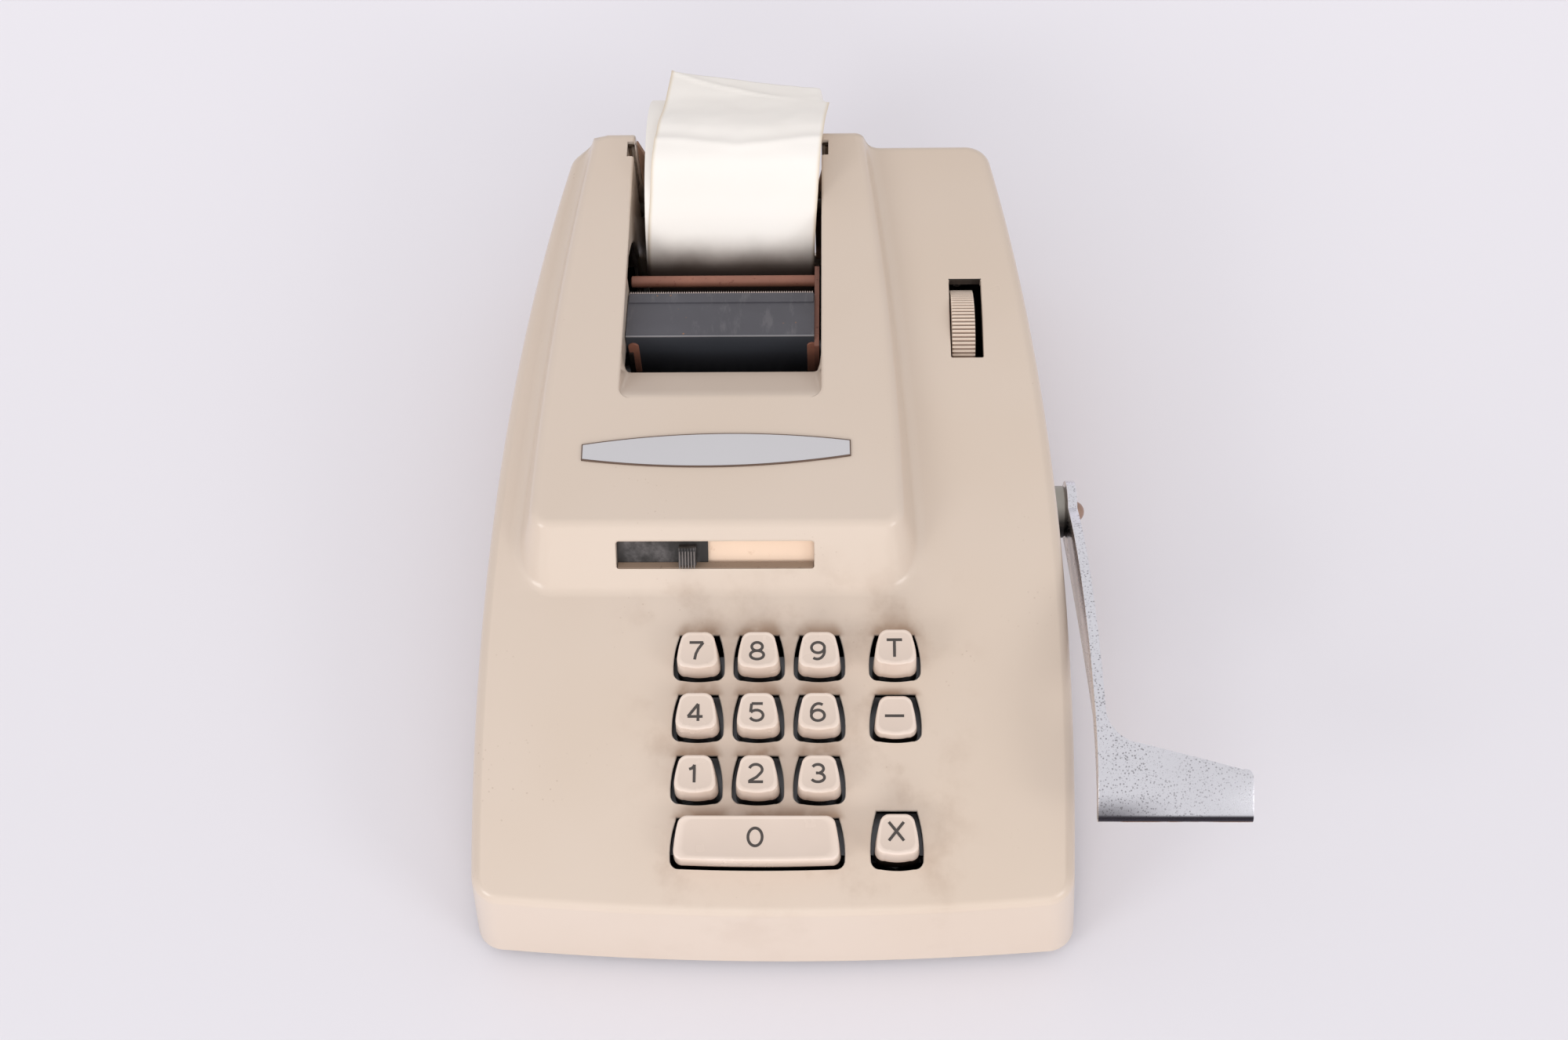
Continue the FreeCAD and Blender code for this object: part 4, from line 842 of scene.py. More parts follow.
def cover_corners(inset):
    """Centres of the front right and rear right corners of the outline drawn in by inset."""
    reach_side = COVER_SIDE - inset - COVER_CORNER
    reach_front = COVER_FRONT - inset - COVER_CORNER
    gap = FRONT_CENTRE - SIDE_CENTRE
    distance = gap.length
    along = (reach_side ** 2 - reach_front ** 2 + distance ** 2) / (2 * distance)
    height = math.sqrt(reach_side ** 2 - along ** 2)
    middle = SIDE_CENTRE + gap * (along / distance)
    sideways = Vector((gap.y, -gap.x)) * (height / distance)
    front = min(middle + sideways, middle - sideways, key=lambda centre: centre.y)
    rear_y = COVER_LENGTH - inset - COVER_CORNER
    rear = Vector((SIDE_CENTRE.x + math.sqrt(reach_side ** 2 - (rear_y - COVER_WIDEST_Y) ** 2), rear_y))
    return front, rear


def mark_place(mark, inset):
    """Plan point and outward direction of one outline mark at a given inset.

    Parts 0 to 3 run from the middle of the front to the rear corner, on the side 1 or -1; part 4 is the
    rear, where the share is X itself.
    """
    side, part, share = mark
    if part == 4:
        return Vector((share, COVER_LENGTH - inset)), Vector((0.0, 1.0))
    front, rear = cover_corners(inset)
    centre, radius, first, last = (
        (FRONT_CENTRE, COVER_FRONT - inset, Vector((0.0, -1.0)), front - FRONT_CENTRE),
        (front, COVER_CORNER, front - FRONT_CENTRE, front - SIDE_CENTRE),
        (SIDE_CENTRE, COVER_SIDE - inset, front - SIDE_CENTRE, rear - SIDE_CENTRE),
        (rear, COVER_CORNER, rear - SIDE_CENTRE, Vector((0.0, 1.0))))[part]
    start, end = (math.atan2(way.y, way.x) for way in (first.normalized(), last.normalized()))
    angle = start + (end - start) * share
    out = Vector((math.cos(angle), math.sin(angle)))
    point = centre + out * radius
    return Vector((point.x * side, point.y)), Vector((out.x * side, out.y))


def outline_marks():
    """Marks once round the cover, from the middle of the front to the right, rear, left and back."""
    right = []
    for part, steps in ((0, 24), (1, 10), (2, 70), (3, 24)):
        right += [(part, step / steps) for step in range(steps)]
    rear = [65 - 1.0 * step for step in range(131)]
    for edge, turn in ((SCOOP_LEFT, -1), (SCOOP_RIGHT, 1)):
        rear = [x for x in rear if abs(x - edge) > 1.2]
        rear += [edge + turn * ROLLED * share for share in ROLL_SHARES] + [edge - turn * 0.3]
    marks = [(1, part, share) for part, share in right]
    marks += [(1, 4, x) for x in sorted(rear, reverse=True) if abs(x) < 62]
    return marks + [(-1, part, share) for part, share in reversed(right)][:-1]


def rim_arc(mark):
    """The rolled edge from the leaning wall to the deck: points and normals, from below."""
    z = 60.0
    for _ in range(14):
        point, out = mark_place(mark, (z - COVER_LIFT) * DRAFT)
        z = cover_z(point.x, point.y)
    inward = point - out * 0.6
    rise = math.atan(min(max((cover_z(inward.x, inward.y) - z) / 0.6, -0.5), 3.0))
    lean = math.atan(DRAFT)
    turn = math.pi / 2 - lean - rise
    reach = RIM_RADIUS * math.tan(turn / 2)
    out3 = Vector((out.x, out.y, 0.0))
    up = Vector((0.0, 0.0, 1.0))
    wall_up = up * math.cos(lean) - out3 * math.sin(lean)
    wall_out = out3 * math.cos(lean) + up * math.sin(lean)
    start = Vector((point.x, point.y, z)) - wall_up * reach
    centre = start - wall_out * RIM_RADIUS
    points, normals = [], []
    for step in range(RIM_STEPS + 1):
        angle = turn * step / RIM_STEPS
        normal = wall_out * math.cos(angle) + wall_up * math.sin(angle)
        points.append(centre + normal * RIM_RADIUS)
        normals.append(normal)
    end = points[-1]
    end.z = cover_z(end.x, end.y)
    normals[-1] = slope_normal(end.x, end.y)
    return points, normals


# A hole in the housing: rings of points round it, its edge's radius, its depth and the way its wall goes in.
Hole = namedtuple("Hole", "ring roll depth way")


def barrel_hole(x, y, width, length):
    def ring(grow):
        return [Vector((x + across, y + along * math.cos(KEY_TILT)))
                for across, along in barrel_outline(width, length, -grow, 6)]
    return Hole(ring, 0.55, 2.6, Vector((0.0, math.sin(KEY_TILT), -math.cos(KEY_TILT))))


def box_ring(x0, x1, y0, y1, corner, grow, steps=4):
    """Points round a box with rounded corners, grown outwards."""
    points = []
    radius = corner + grow
    for cx, cy, start in ((x1 - corner, y1 - corner, 0), (x0 + corner, y1 - corner, 90),
                          (x0 + corner, y0 + corner, 180), (x1 - corner, y0 + corner, 270)):
        for step in range(steps + 1):
            angle = math.radians(start + 90 * step / steps)
            points.append(Vector((cx + radius * math.cos(angle), cy + radius * math.sin(angle))))
    spread = []
    for place, point in enumerate(points):
        after = points[(place + 1) % len(points)]
        pieces = max(1, round((after - point).length / 4.0))
        spread += [point.lerp(after, piece / pieces) for piece in range(pieces)]
    return spread


def inside_loop(point, loop):
    hit = False
    x, y = point
    for place in range(len(loop)):
        ax, ay = loop[place]
        bx, by = loop[place - 1]
        if (ay > y) != (by > y) and x < (bx - ax) * (y - ay) / (by - ay) + ax:
            hit = not hit
    return hit


def tessellate(outline):
    return geometry.tessellate_polygon([[Vector((y, z, 0.0)) for y, z in outline]])


def add_plate(vertices, normals, faces, x0, x1, outline):
    """A plate between two planes of X from its outline in Y and Z."""
    triangles = tessellate(outline)
    for x, way in ((x0, -1.0), (x1, 1.0)):
        first = len(vertices)
        for y, z in outline:
            vertices.append(Vector((x, y, z)))
            normals.append(Vector((way, 0.0, 0.0)))
        faces.extend(tuple(first + n for n in triangle) for triangle in triangles)
    count = len(outline)
    for place in range(count):
        after = (place + 1) % count
        faces.append((first - count + place, first - count + after, first + after, first + place))


def slot_arc(start, end):
    """The slot's round bottom, the angles in degrees."""
    points = []
    for step in range(13):
        angle = math.radians(start + (end - start) * step / 12)
        points.append((SPINDLE_Y + SLOT_RADIUS * math.cos(angle), SPINDLE_Z + SLOT_RADIUS * math.sin(angle)))
    return points


def slot_outlines():
    """Outlines of the thicker places behind the spindle's slots: round the slot, and behind it."""
    reach = SLOT_RADIUS + WALL
    front, rear, low = SPINDLE_Y - reach, SPINDLE_Y + reach, SPINDLE_Z - reach
    top = hump_crest(front) - WALL - 0.02
    back = [(front, top), (front, low), (rear, low), (rear, top)]
    cheek = back + [(SPINDLE_Y + SLOT_RADIUS, top)] + slot_arc(0, -180) + [(SPINDLE_Y - SLOT_RADIUS, top)]
    return cheek, back


def well_wall_outlines():
    """Outlines of the well's side walls: the strip along its front part, and the wall round the roll."""
    def under(y):
        return hump_crest(y) - (WALL + 0.85)

    low = hump_crest(WELL_Y) - SCOOP_DEPTH - WALL
    front = [(WELL_Y - 0.6, low), (CUTOUT_Y, low)]
    front += [(y, under(y)) for y in (CUTOUT_Y, 203, 194, 185, WELL_Y - 0.6)]
    rear = [(COVER_LENGTH - WALL - (WELL_FLOOR_Z - COVER_LIFT) * DRAFT, WELL_FLOOR_Z),
            (CUTOUT_Y + CUTOUT_RADIUS, WELL_FLOOR_Z)]
    for step in range(25):
        angle = math.radians(90 * step / 24)
        y, z = CUTOUT_Y + CUTOUT_RADIUS * math.cos(angle), CUTOUT_Z + CUTOUT_RADIUS * math.sin(angle)
        if z < under(y) - 0.5:
            rear.append((y, z))
    y = rear[-1][0] - 1.0
    while y < SPINDLE_Y - SLOT_RADIUS:
        rear.append((y, under(y)))
        y += 8.0
    rear.append((SPINDLE_Y - SLOT_RADIUS, under(SPINDLE_Y)))
    rear += slot_arc(180, 360) + [(SPINDLE_Y + SLOT_RADIUS, under(SPINDLE_Y))]
    top = under(COVER_LENGTH - 8.0)
    return front, rear + [(COVER_LENGTH - WALL - (top - COVER_LIFT) * DRAFT, top)]


def hump_outline():
    """Marks along the hump's top edge: a plan point, the way out and the slope outside it."""
    outline = []
    for step in range(54):
        y = 275 - 3.0 * step
        left = HUMP_X - hump_half(y) + (hump_crest(y) - DECK_REAR_Z) * 0.364
        outline.append((Vector((left, y)), Vector((-1.0, 0.0)), SIDE_SLOPE))
    centre = Vector((HUMP_X - hump_half(120) + HUMP_CORNER, HUMP_FRONT_Y + HUMP_CORNER))
    for step in range(1, 10):
        angle = math.radians(180 + 90 * step / 10)
        out = Vector((math.cos(angle), math.sin(angle)))
        slope = SIDE_SLOPE + (FRONT_SLOPE - SIDE_SLOPE) * soft_step(step / 10)
        outline.append((centre + out * HUMP_CORNER, out, slope))
    mirrored = [(Vector((2 * HUMP_X - p.x, p.y)), Vector((-o.x, o.y)), s) for p, o, s in reversed(outline)]
    for step in range(13):
        point = Vector((HUMP_X - 53.5 + 107.0 * step / 12, HUMP_FRONT_Y))
        outline.append((point, Vector((0.0, -1.0)), FRONT_SLOPE))
    return outline + mirrored


def hump_guides():
    """Lines along the hump's rim and foot, which the housing's mesh follows."""
    outline = hump_outline()
    lines = []
    for share in (1.0, 0.75, 0.5, 0.25, 0.0):
        lines.append([p - o * (HUMP_RIM * math.tan(math.atan(s) / 2)) * share for p, o, s in outline])
    for share in (0.33, 0.66, 1.0):
        lines.append([p + o * HUMP_RIM * math.tan(math.atan(s) / 2) * math.cos(math.atan(s)) * share
                      for p, o, s in outline])
    feet = []
    for point, out, slope in outline:
        rise = hump_crest(point.y) - deck_z(point.y)
        foot = point + out * (rise / slope)
        rise = hump_crest(point.y) - deck_z(foot.y)
        feet.append((point + out * (rise / slope), out, math.atan(slope)))
    for share in (-1.0, -0.7, -0.4, 0.0, 0.3, 0.6, 1.0):
        line = []
        for point, out, turn in feet:
            reach = HUMP_FOOT * math.tan(turn / 2) * (1.0 if share > 0 else math.cos(turn))
            line.append(point + out * reach * share)
        lines.append(line)
    return lines


def scoop_guides():
    """Lines along the scoop's edge and across its floor."""
    lines = []
    for inside in (-1.0, -0.75, -0.5, -0.25, 0.0, 0.2, 0.4, 0.6, 0.8, 1.1, 1.5, 2.2):
        ring = box_ring(SCOOP_LEFT, SCOOP_RIGHT, SCOOP_Y, WELL_END_Y, SCOOP_CORNER, -inside, 6)
        ring = [point for point in ring if point.y < WELL_Y + 6]
        cut = max(range(len(ring)), key=lambda place: (ring[place] - ring[place - 1]).length)
        lines.append(ring[cut:] + ring[:cut])
    for y in (160.2, 160.9, 161.6, 162.3, 163.0, 165, 168, 171, 174):
        lines.append([Vector((SCOOP_LEFT + 3 + 60.7 * step / 20, y)) for step in range(21)])
    return lines


def housing_shell(holes):
    """Vertices, normals and faces of the whole housing, in the case's own coordinates."""
    vertices, normals, faces = [], [], []

    def add(point, normal):
        vertices.append(Vector(point))
        normals.append(Vector(normal).normalized())
        return len(vertices) - 1

    marks = outline_marks()
    arcs = [rim_arc(mark) for mark in marks]
    plan, plan_loops, fixed = [], [], {}

    def add_loop(points, closed=True):
        first = len(plan)
        plan.extend(points)
        count = len(points)
        plan_loops.extend((first + place, first + place + 1) for place in range(count - 1))
        if closed:
            plan_loops.append((first + count - 1, first))
        return list(range(first, first + count))

    limit = [Vector(points[-1][:2]) for points, _ in arcs]
    border = add_loop(limit)
    for number, (points, edge_normals) in zip(border, arcs):
        fixed[number] = (points[-1], edge_normals[-1], Vector((0.0, 0.0, -WALL)), -edge_normals[-1])
    hole_boxes = []
    for hole in holes:
        edge = hole.ring(0.0)
        xs, ys = [point.x for point in edge], [point.y for point in edge]
        hole_boxes.append((min(xs), max(xs), min(ys), max(ys), edge))
        for share in ROLL_SHARES:
            angle = math.asin(1 - share)
            drop = hole.roll * (1 - math.cos(angle))
            for place, number in enumerate(add_loop(hole.ring(hole.roll * share))):
                point = plan[number]
                along = (edge[(place + 1) % len(edge)] - edge[place - 1]).normalized()
                inward = Vector((-along.y, along.x, 0.0))
                level = slope_normal(point.x, point.y)
                normal = (level * math.cos(angle) + inward * math.sin(angle)).normalized()
                z = cover_z(point.x, point.y) - drop / level.z
                under = normal if share == 0 else -normal
                fixed[number] = (Vector((point.x, point.y, z)), normal, hole.way * hole.depth, under)

    near_limit = kdtree.KDTree(len(limit))
    for place, point in enumerate(limit):
        near_limit.insert((point.x, point.y, 0.0), place)
    near_limit.balance()

    def limit_distance(point):
        return near_limit.find((point.x, point.y, 0.0))[2]

    def in_hole(point):
        return any(x0 < point.x < x1 and y0 < point.y < y1 and inside_loop(point, loop)
                   for x0, x1, y0, y1, loop in hole_boxes)

    def inside_limit(point):
        if limit_distance(point) > 12:
            bow = math.sqrt(COVER_SIDE ** 2 - (point.y - COVER_WIDEST_Y) ** 2)
            return abs(point.x) < COVER_HALF - COVER_SIDE - 8.0 + bow and 0 < point.y < COVER_LENGTH
        return inside_loop(point, limit)

    def clear(point):
        on_deck = limit_distance(point) > 0.8 and inside_limit(point) and not in_hole(point)
        return on_deck and well_inside(point.x, point.y) <= -1.05

    for line in hump_guides() + scoop_guides():
        run = []
        for point in line + [None]:
            if point and clear(point):
                run.append(point)
                continue
            if len(run) > 1:
                add_loop(run, False)
            run = []
    for share in ROLL_SHARES:
        add_loop(box_ring(SCOOP_LEFT, SCOOP_RIGHT, WELL_Y, WELL_END_Y, WELL_CORNER, ROLLED * share, 6))

    # Points in rows fill what lies between the lines.
    pitch, cell = 4.0, 1.5
    taken = {(round(p.x / cell), round(p.y / cell)) for p in plan}
    for row in range(70):
        for column in range(-25, 26):
            point = Vector((column * pitch + (row % 2) * pitch / 2, 2 + row * pitch))
            x, y = round(point.x / cell), round(point.y / cell)
            near = any((x + i, y + j) in taken for i in (-1, 0, 1) for j in (-1, 0, 1))
            if not near and inside_limit(point):
                plan.append(point)
    for edge, turn in ((SCOOP_LEFT, -1), (SCOOP_RIGHT, 1)):
        deep, near, far = edge + turn * SLOT_DEEP, SPINDLE_Y - SLOT_RADIUS, SPINDLE_Y + SLOT_RADIUS
        add_loop([Vector(place) for place in ((edge, near), (deep, near), (deep, far), (edge, far))], False)
    points, _, triangles, origins = geometry.delaunay_2d_cdt(plan, plan_loops, [], 0, 0.0001)[:4]
    outer, inner = {}, {}

    def corner(number):
        if number not in outer:
            source = [n for n in origins[number] if n in fixed]
            point = points[number]
            if source:
                place, normal, offset, under = fixed[source[0]]
            else:
                place = Vector((point.x, point.y, cover_z(point.x, point.y)))
                normal = slope_normal(point.x, point.y)
                offset, under = Vector((0.0, 0.0, -WALL)), -normal
            if well_inside(point.x, point.y) > -0.02:
                normal = Vector((0.0, 1.0, 0.0))
                if abs(point.x - SCOOP_LEFT) < 0.05:
                    normal = Vector((1.0, 0.0, 0.0))
                elif abs(point.x - SCOOP_RIGHT) < 0.05:
                    normal = Vector((-1.0, 0.0, 0.0))
                under = normal
            outer[number] = add(place, normal)
            inner[number] = add(place + offset, under)
        return outer[number]

    edges = {}
    for triangle in triangles:
        a, b, c = (points[n] for n in triangle)
        middle = sum((a, b, c), Vector((0.0, 0.0))) / 3
        area = (b - a).cross(c - a)
        if not inside_limit(middle) or well_cut_away(*middle) or in_hole(middle) or abs(area) < 1e-6:
            continue
        if area < 0:
            triangle = triangle[::-1]
        faces.append(tuple(corner(n) for n in triangle))
        faces.append(tuple(inner[n] for n in reversed(triangle)))
        for place in range(3):
            edges[triangle[place], triangle[(place + 1) % 3]] = True
    numbers_of = {n: number for number, source in enumerate(origins) for n in source}
    rim = {numbers_of[n] for n in border}
    for first, last in edges:
        if (last, first) not in edges and not (first in rim and last in rim):
            faces.append((outer[last], outer[first], inner[first], inner[last]))

    # Each column runs down the rolled edge and the outer wall, round the lip and up the inner wall.
    columns = []
    lean = math.atan(DRAFT)
    for mark, (arc, arc_normals), start in zip(marks, arcs, border):
        number = numbers_of[start]
        column = [outer[number] if number in outer else add(arc[-1], arc_normals[-1])]
        for point, normal in list(zip(arc, arc_normals))[-2::-1]:
            column.append(add(point, normal))
        top = arc[0].z
        out = mark_place(mark, 0.0)[1]
        wall_out = Vector((out.x * math.cos(lean), out.y * math.cos(lean), math.sin(lean)))
        for share in (0.14, 0.3, 0.46, 0.62, 0.8, 1.0):
            z = top + (WELL_FLOOR_Z - top) * share
            place, out = mark_place(mark, (z - COVER_LIFT) * DRAFT)
            column.append(add((place.x, place.y, z), wall_out))
        outer_floor = len(column) - 1
        column.append(add((*mark_place(mark, 0.6 * DRAFT)[0], COVER_LIFT + 0.6), wall_out))
        for drop, inset, tilt in ((0.45, 0.2, 0.8), (0.6, 0.6, 3.0)):
            place, out = mark_place(mark, inset)
            column.append(add((place.x, place.y, COVER_LIFT + 0.6 - drop), Vector((out.x, out.y, -tilt))))
        place, out = mark_place(mark, WALL)
        column.append(add((place.x, place.y, COVER_LIFT), (0.0, 0.0, -1.0)))
        inner_floor = len(column) + 1
        for z in (COVER_LIFT + 0.3, WELL_FLOOR_Z, (WELL_FLOOR_Z + top) / 2, top - 1.0):
            place, out = mark_place(mark, WALL + (z - COVER_LIFT) * DRAFT)
            column.append(add((place.x, place.y, z), (-out.x, -out.y, 0.0)))
        if number in inner:
            column.append(inner[number])
        else:
            column.append(add(arc[-1] - Vector((0, 0, WALL)), -arc_normals[-1]))
        columns.append(column)

    def in_gap(mark, spare=0.01):
        return mark[1] == 4 and SCOOP_LEFT - spare <= mark[2] <= SCOOP_RIGHT + spare

    for place, left in enumerate(columns):
        after = (place + 1) % len(columns)
        right = columns[after]
        gap = in_gap(marks[place]) and in_gap(marks[after])
        for level in range(len(left) - 1):
            if gap and (level < outer_floor or level >= inner_floor):
                continue
            faces.append((left[level + 1], right[level + 1], right[level], left[level]))
        if gap:
            faces.append((left[outer_floor], right[outer_floor], right[inner_floor], left[inner_floor]))
        if in_gap(marks[place]) and not in_gap(marks[place], -0.01):
            cap = left[:outer_floor + 1] + left[inner_floor:]
            flat = tessellate([(vertices[n].y, vertices[n].z) for n in cap])
            faces.extend(tuple(cap[n] for n in triangle) for triangle in flat)
    cheek, back = slot_outlines()
    for x0 in (SCOOP_LEFT - WALL, SCOOP_RIGHT):
        for outline in well_wall_outlines():
            add_plate(vertices, normals, faces, x0, x0 + WALL, outline)
    for edge, turn in ((SCOOP_LEFT, -1), (SCOOP_RIGHT, 1)):
        near, far = edge + turn * WALL, edge + turn * SLOT_DEEP
        end = far + turn * WALL
        add_plate(vertices, normals, faces, min(near, far), max(near, far), cheek)
        add_plate(vertices, normals, faces, min(far, end), max(far, end), back)
    return vertices, normals, faces


class ADDING_OT_cover(bpy.types.Operator):
    """Moulded housing"""
    bl_idname = "adding.cover"
    bl_label = "Housing"

    def execute(self, context):
        settings = context.scene.adding_cover
        finish = housing_finish(tuple(settings.colour), tuple(settings.grime))
        cover = self.shell()
        finish_piece(cover, finish, "case", "housing", "top_cover")
        self.returns()
        return {"FINISHED"}

    def returns(self):
        """The shaded flanges that close the well beside the roll."""
        brown = plain_finish("shaded_housing", linear(158, 126, 106), 0.6, change=0.15)
        left, right = SCOOP_LEFT - 0.6, SCOOP_RIGHT + 0.6
        outlines = {
            "left_return": ((left, 12.5), (-47.2, 12.5), (-47.2, 63.0), (-49.5, 71.4),
                            (SCOOP_LEFT - 0.2, 77.5), (left, 77.5)),
            "right_return": ((right, 12.5), (right, 64.0), (SCOOP_RIGHT, 63.0), (13.4, 54.0),
                             (12.3, 34.0), (12.3, 12.5))}
        for name, outline in outlines.items():
            rings = [[at(x, y, z) for x, z in outline] for y in (277.0, 279.0)]
            finish_piece(small_block(name, rings), brown, "case", "housing")

    def shell(self):
        holes = [barrel_hole(x, y, width, length) for _, _, x, y, width, length, _ in key_layout()]
        lean = math.sin(HUMP_LEAN)

        def window(grow):
            half = WINDOW_HEIGHT / 2
            ring = box_ring(WINDOW_LEFT, WINDOW_RIGHT, -half - WINDOW_DROP, half, 0.9, grow, 4)
            return [Vector((point.x, WINDOW_Y + point.y * lean)) for point in ring]

        holes.append(Hole(window, 0.4, 3.2, Vector((0.0, math.cos(HUMP_LEAN), -lean))))
        down = Vector((0.0, 0.0, -1.0))
        holes.append(Hole(lambda grow: box_ring(*WHEEL_SLOT, 0.6, grow, 3), 0.4, 2.5, down))
        vertices, normals, faces = housing_shell(holes)
        cover = make_object("housing", [at(*point) for point in vertices], faces)
        work = bmesh.new()
        work.from_mesh(cover.data)
        bmesh.ops.recalc_face_normals(work, faces=work.faces)
        work.to_mesh(cover.data)
        work.free()
        cover.data.normals_split_custom_set_from_vertices([tuple(normal) for normal in normals])
        return cover


def key_layout():
    """Name, legend, X, Y, width, length and height of every key."""
    rise = 19.6 * math.cos(KEY_TILT)
    keys = []
    for number in range(1, 10):
        column, row = (number - 1) % 3, (number - 1) // 3 + 1
        x, y = KEY_LEFT_X + column * KEY_PITCH, KEY_FIRST_Y + row * rise
        keys.append((str(number), str(number), x, y, 16.0, 15.0, 9.0))
    keys.append(("0", "0", KEY_LEFT_X + KEY_PITCH, KEY_FIRST_Y, 53.6, 15.6, 9.0))
    x = KEY_LEFT_X + 2 * KEY_PITCH + FUNCTION_GAP
    keys.append(("total", "T", x, KEY_FIRST_Y + 3 * rise, 16.0, 15.0, 12.0))
    keys.append(("minus", "-", x, KEY_FIRST_Y + 2 * rise, 16.0, 15.0, 4.0))
    keys.append(("repeat", "X", x, 20.95, 16.0, 17.7, 9.0))
    return keys


def arc_points(first, middle, last, steps):
    """Points on the circle through three, without the last one."""
    yc, zc, radius = circle_through(first, middle, last)
    start, mid, end = (math.atan2(z - zc, y - yc) for y, z in (first, middle, last))
    span = (end - start) % (2 * math.pi)
    if (mid - start) % (2 * math.pi) > span:
        span -= 2 * math.pi
    points = []
    for step in range(steps):
        angle = start + span * step / steps
        points.append((yc + radius * math.cos(angle), zc + radius * math.sin(angle)))
    return points


def bowed_front(wide, fore, corner, corner_steps, steps):
    """A round corner on the right of a key's outline and its bowed front up to the middle."""
    right = arc_points((wide, fore + corner), (wide - 0.28 * corner, fore + 0.3 * corner),
                       (wide - corner, fore + 0.05 * corner), corner_steps)
    half = arc_points((wide - corner, fore + 0.05 * corner), (0, fore - 0.1 * corner),
                      (corner - wide, fore + 0.05 * corner), 2 * steps)
    return right + half[:steps + 1]


def barrel_outline(width, length, inset, steps):
    """A key hole's outline: narrow sharp rear, bowed sides and a bowed front with round corners."""
    front = width / 2 - inset
    rear = front - 1.8
    back = length / 2 - inset
    corner = 3.0
    swell = front - 0.25 * (front - rear)
    right = arc_points((rear, back), (swell, 0.35 * back), (front, -back + corner), steps)
    right += bowed_front(front, -back, corner, steps, steps)
    left = [(-x, y) for x, y in reversed(right[1:-1])]
    top = [(-rear + 2 * rear * step / steps, back) for step in range(steps)]
    return right + left + top


def cap_outline(width, length, side, front, rear, steps):
    """A cap's outline, drawn in from its hole by other distances at the sides, front and rear."""
    wide = width / 2 - side
    narrow = width / 2 - 1.8 - 0.675 - 0.25 * side
    back = length / 2 - rear
    fore = front - length / 2
    corner, turn = 3.0, 2.6
    swell = wide - 0.25 * (wide - narrow)
    sag = 0.29 * turn
    bend_end = (narrow + 0.08 * turn, back - turn)
    right = arc_points((narrow - turn, back), (narrow - sag, back - sag), bend_end, 6)
    right += arc_points(bend_end, (swell, 0.5 * (back + fore)), (wide, fore + corner), steps)
    right += bowed_front(wide, fore, corner, 8, steps)
    left = [(-x, y) for x, y in reversed(right[:-1])]
    top = [((turn - narrow) * (1 - 2 * step / steps), back) for step in range(1, steps)]
    return right + left + top


def cap_gaps(name, height):
    """Gaps between a key's hole and its cap at the sides, front and rear, each at the foot and at the top."""
    rise = height + SKIRT_DEPTH
    front, rear = (1.7, 1.9) if name == "repeat" else (0.6, 0.9)
    front_slope, rear_slope = (0.055, -0.013) if name == "0" else (0.113, 0.027)
    return (0.9, 1.65), (front, front + front_slope * rise), (rear, rear + rear_slope * rise)


def cap_top(height, y):
    """Height of a cap's dished top at a distance from the dish's middle."""
    return height - DISH_DEPTH + DISH_RADIUS - math.sqrt(DISH_RADIUS ** 2 - y * y)


def bend(x, y, across, upward, start, end, steps=14):
    """Points along a part of an ellipse, the angles in degrees."""
    points = []
    for step in range(steps + 1):
        angle = math.radians(start + (end - start) * step / steps)
        points.append((x + across * math.cos(angle), y + upward * math.sin(angle)))
    return points


GLYPHS = {
    "0": [bend(0, 0.5, 0.36, 0.45, 0, 360, 32)],
    "1": [[(-0.24, 0.72), (-0.1, 0.76), (0.0, 0.86), (0.03, 0.95)], [(0.03, 0.95), (0.03, 0.03)]],
    "2": [bend(0, 0.68, 0.33, 0.27, 165, -30) + [(0.05, 0.3), (-0.28, 0.12), (-0.35, 0.05)],
          [(-0.38, 0.05), (0.38, 0.05)]],
    "3": [bend(0, 0.73, 0.29, 0.22, 155, -90) + bend(0, 0.28, 0.34, 0.23, 90, -155)[1:],
          [(-0.1, 0.51), (0.02, 0.51)]],
    "4": [[(0.16, 0.03), (0.16, 0.93)], [(0.16, 0.93), (-0.36, 0.27)], [(-0.38, 0.27), (0.4, 0.27)]],
    "5": [[(0.33, 0.95), (-0.25, 0.95)], [(-0.25, 0.95), (-0.3, 0.5)], bend(0, 0.33, 0.35, 0.28, 145, -155)],
    "6": [bend(0, 0.33, 0.34, 0.28, 0, 360, 28), bend(0.04, 0.5, 0.38, 0.45, 190, 58)],
    "7": [[(-0.36, 0.95), (0.36, 0.95)], [(0.36, 0.95), (0.1, 0.6), (-0.02, 0.34), (-0.08, 0.03)]],
    "8": [bend(0, 0.73, 0.28, 0.22, 0, 360, 28), bend(0, 0.28, 0.35, 0.23, 0, 360, 28)],
    "9": [bend(0, 0.67, 0.34, 0.28, 0, 360, 28), bend(-0.04, 0.5, 0.38, 0.45, 10, -122)],
    "T": [[(-0.4, 0.95), (0.4, 0.95)], [(0, 0.95), (0, 0.03)]],
    "X": [[(-0.38, 0.03), (0.38, 0.97)], [(-0.38, 0.97), (0.38, 0.03)]],
    "-": [[(-0.5, 0.5), (0.5, 0.5)]],
}


def ribbon(points, width, closed):
    """A flat band of even width along a line: pairs of points, left and right of it."""
    pairs = []
    count = len(points)
    for place, point in enumerate(points):
        before = points[place - 1] if place or closed else point
        after = points[(place + 1) % count] if place < count - 1 or closed else point
        run = Vector((after[0] - before[0], after[1] - before[1])).normalized()
        side = Vector((-run.y, run.x)) * (width / 2)
        middle = Vector(point)
        pairs.append((middle + side, middle - side))
    return pairs


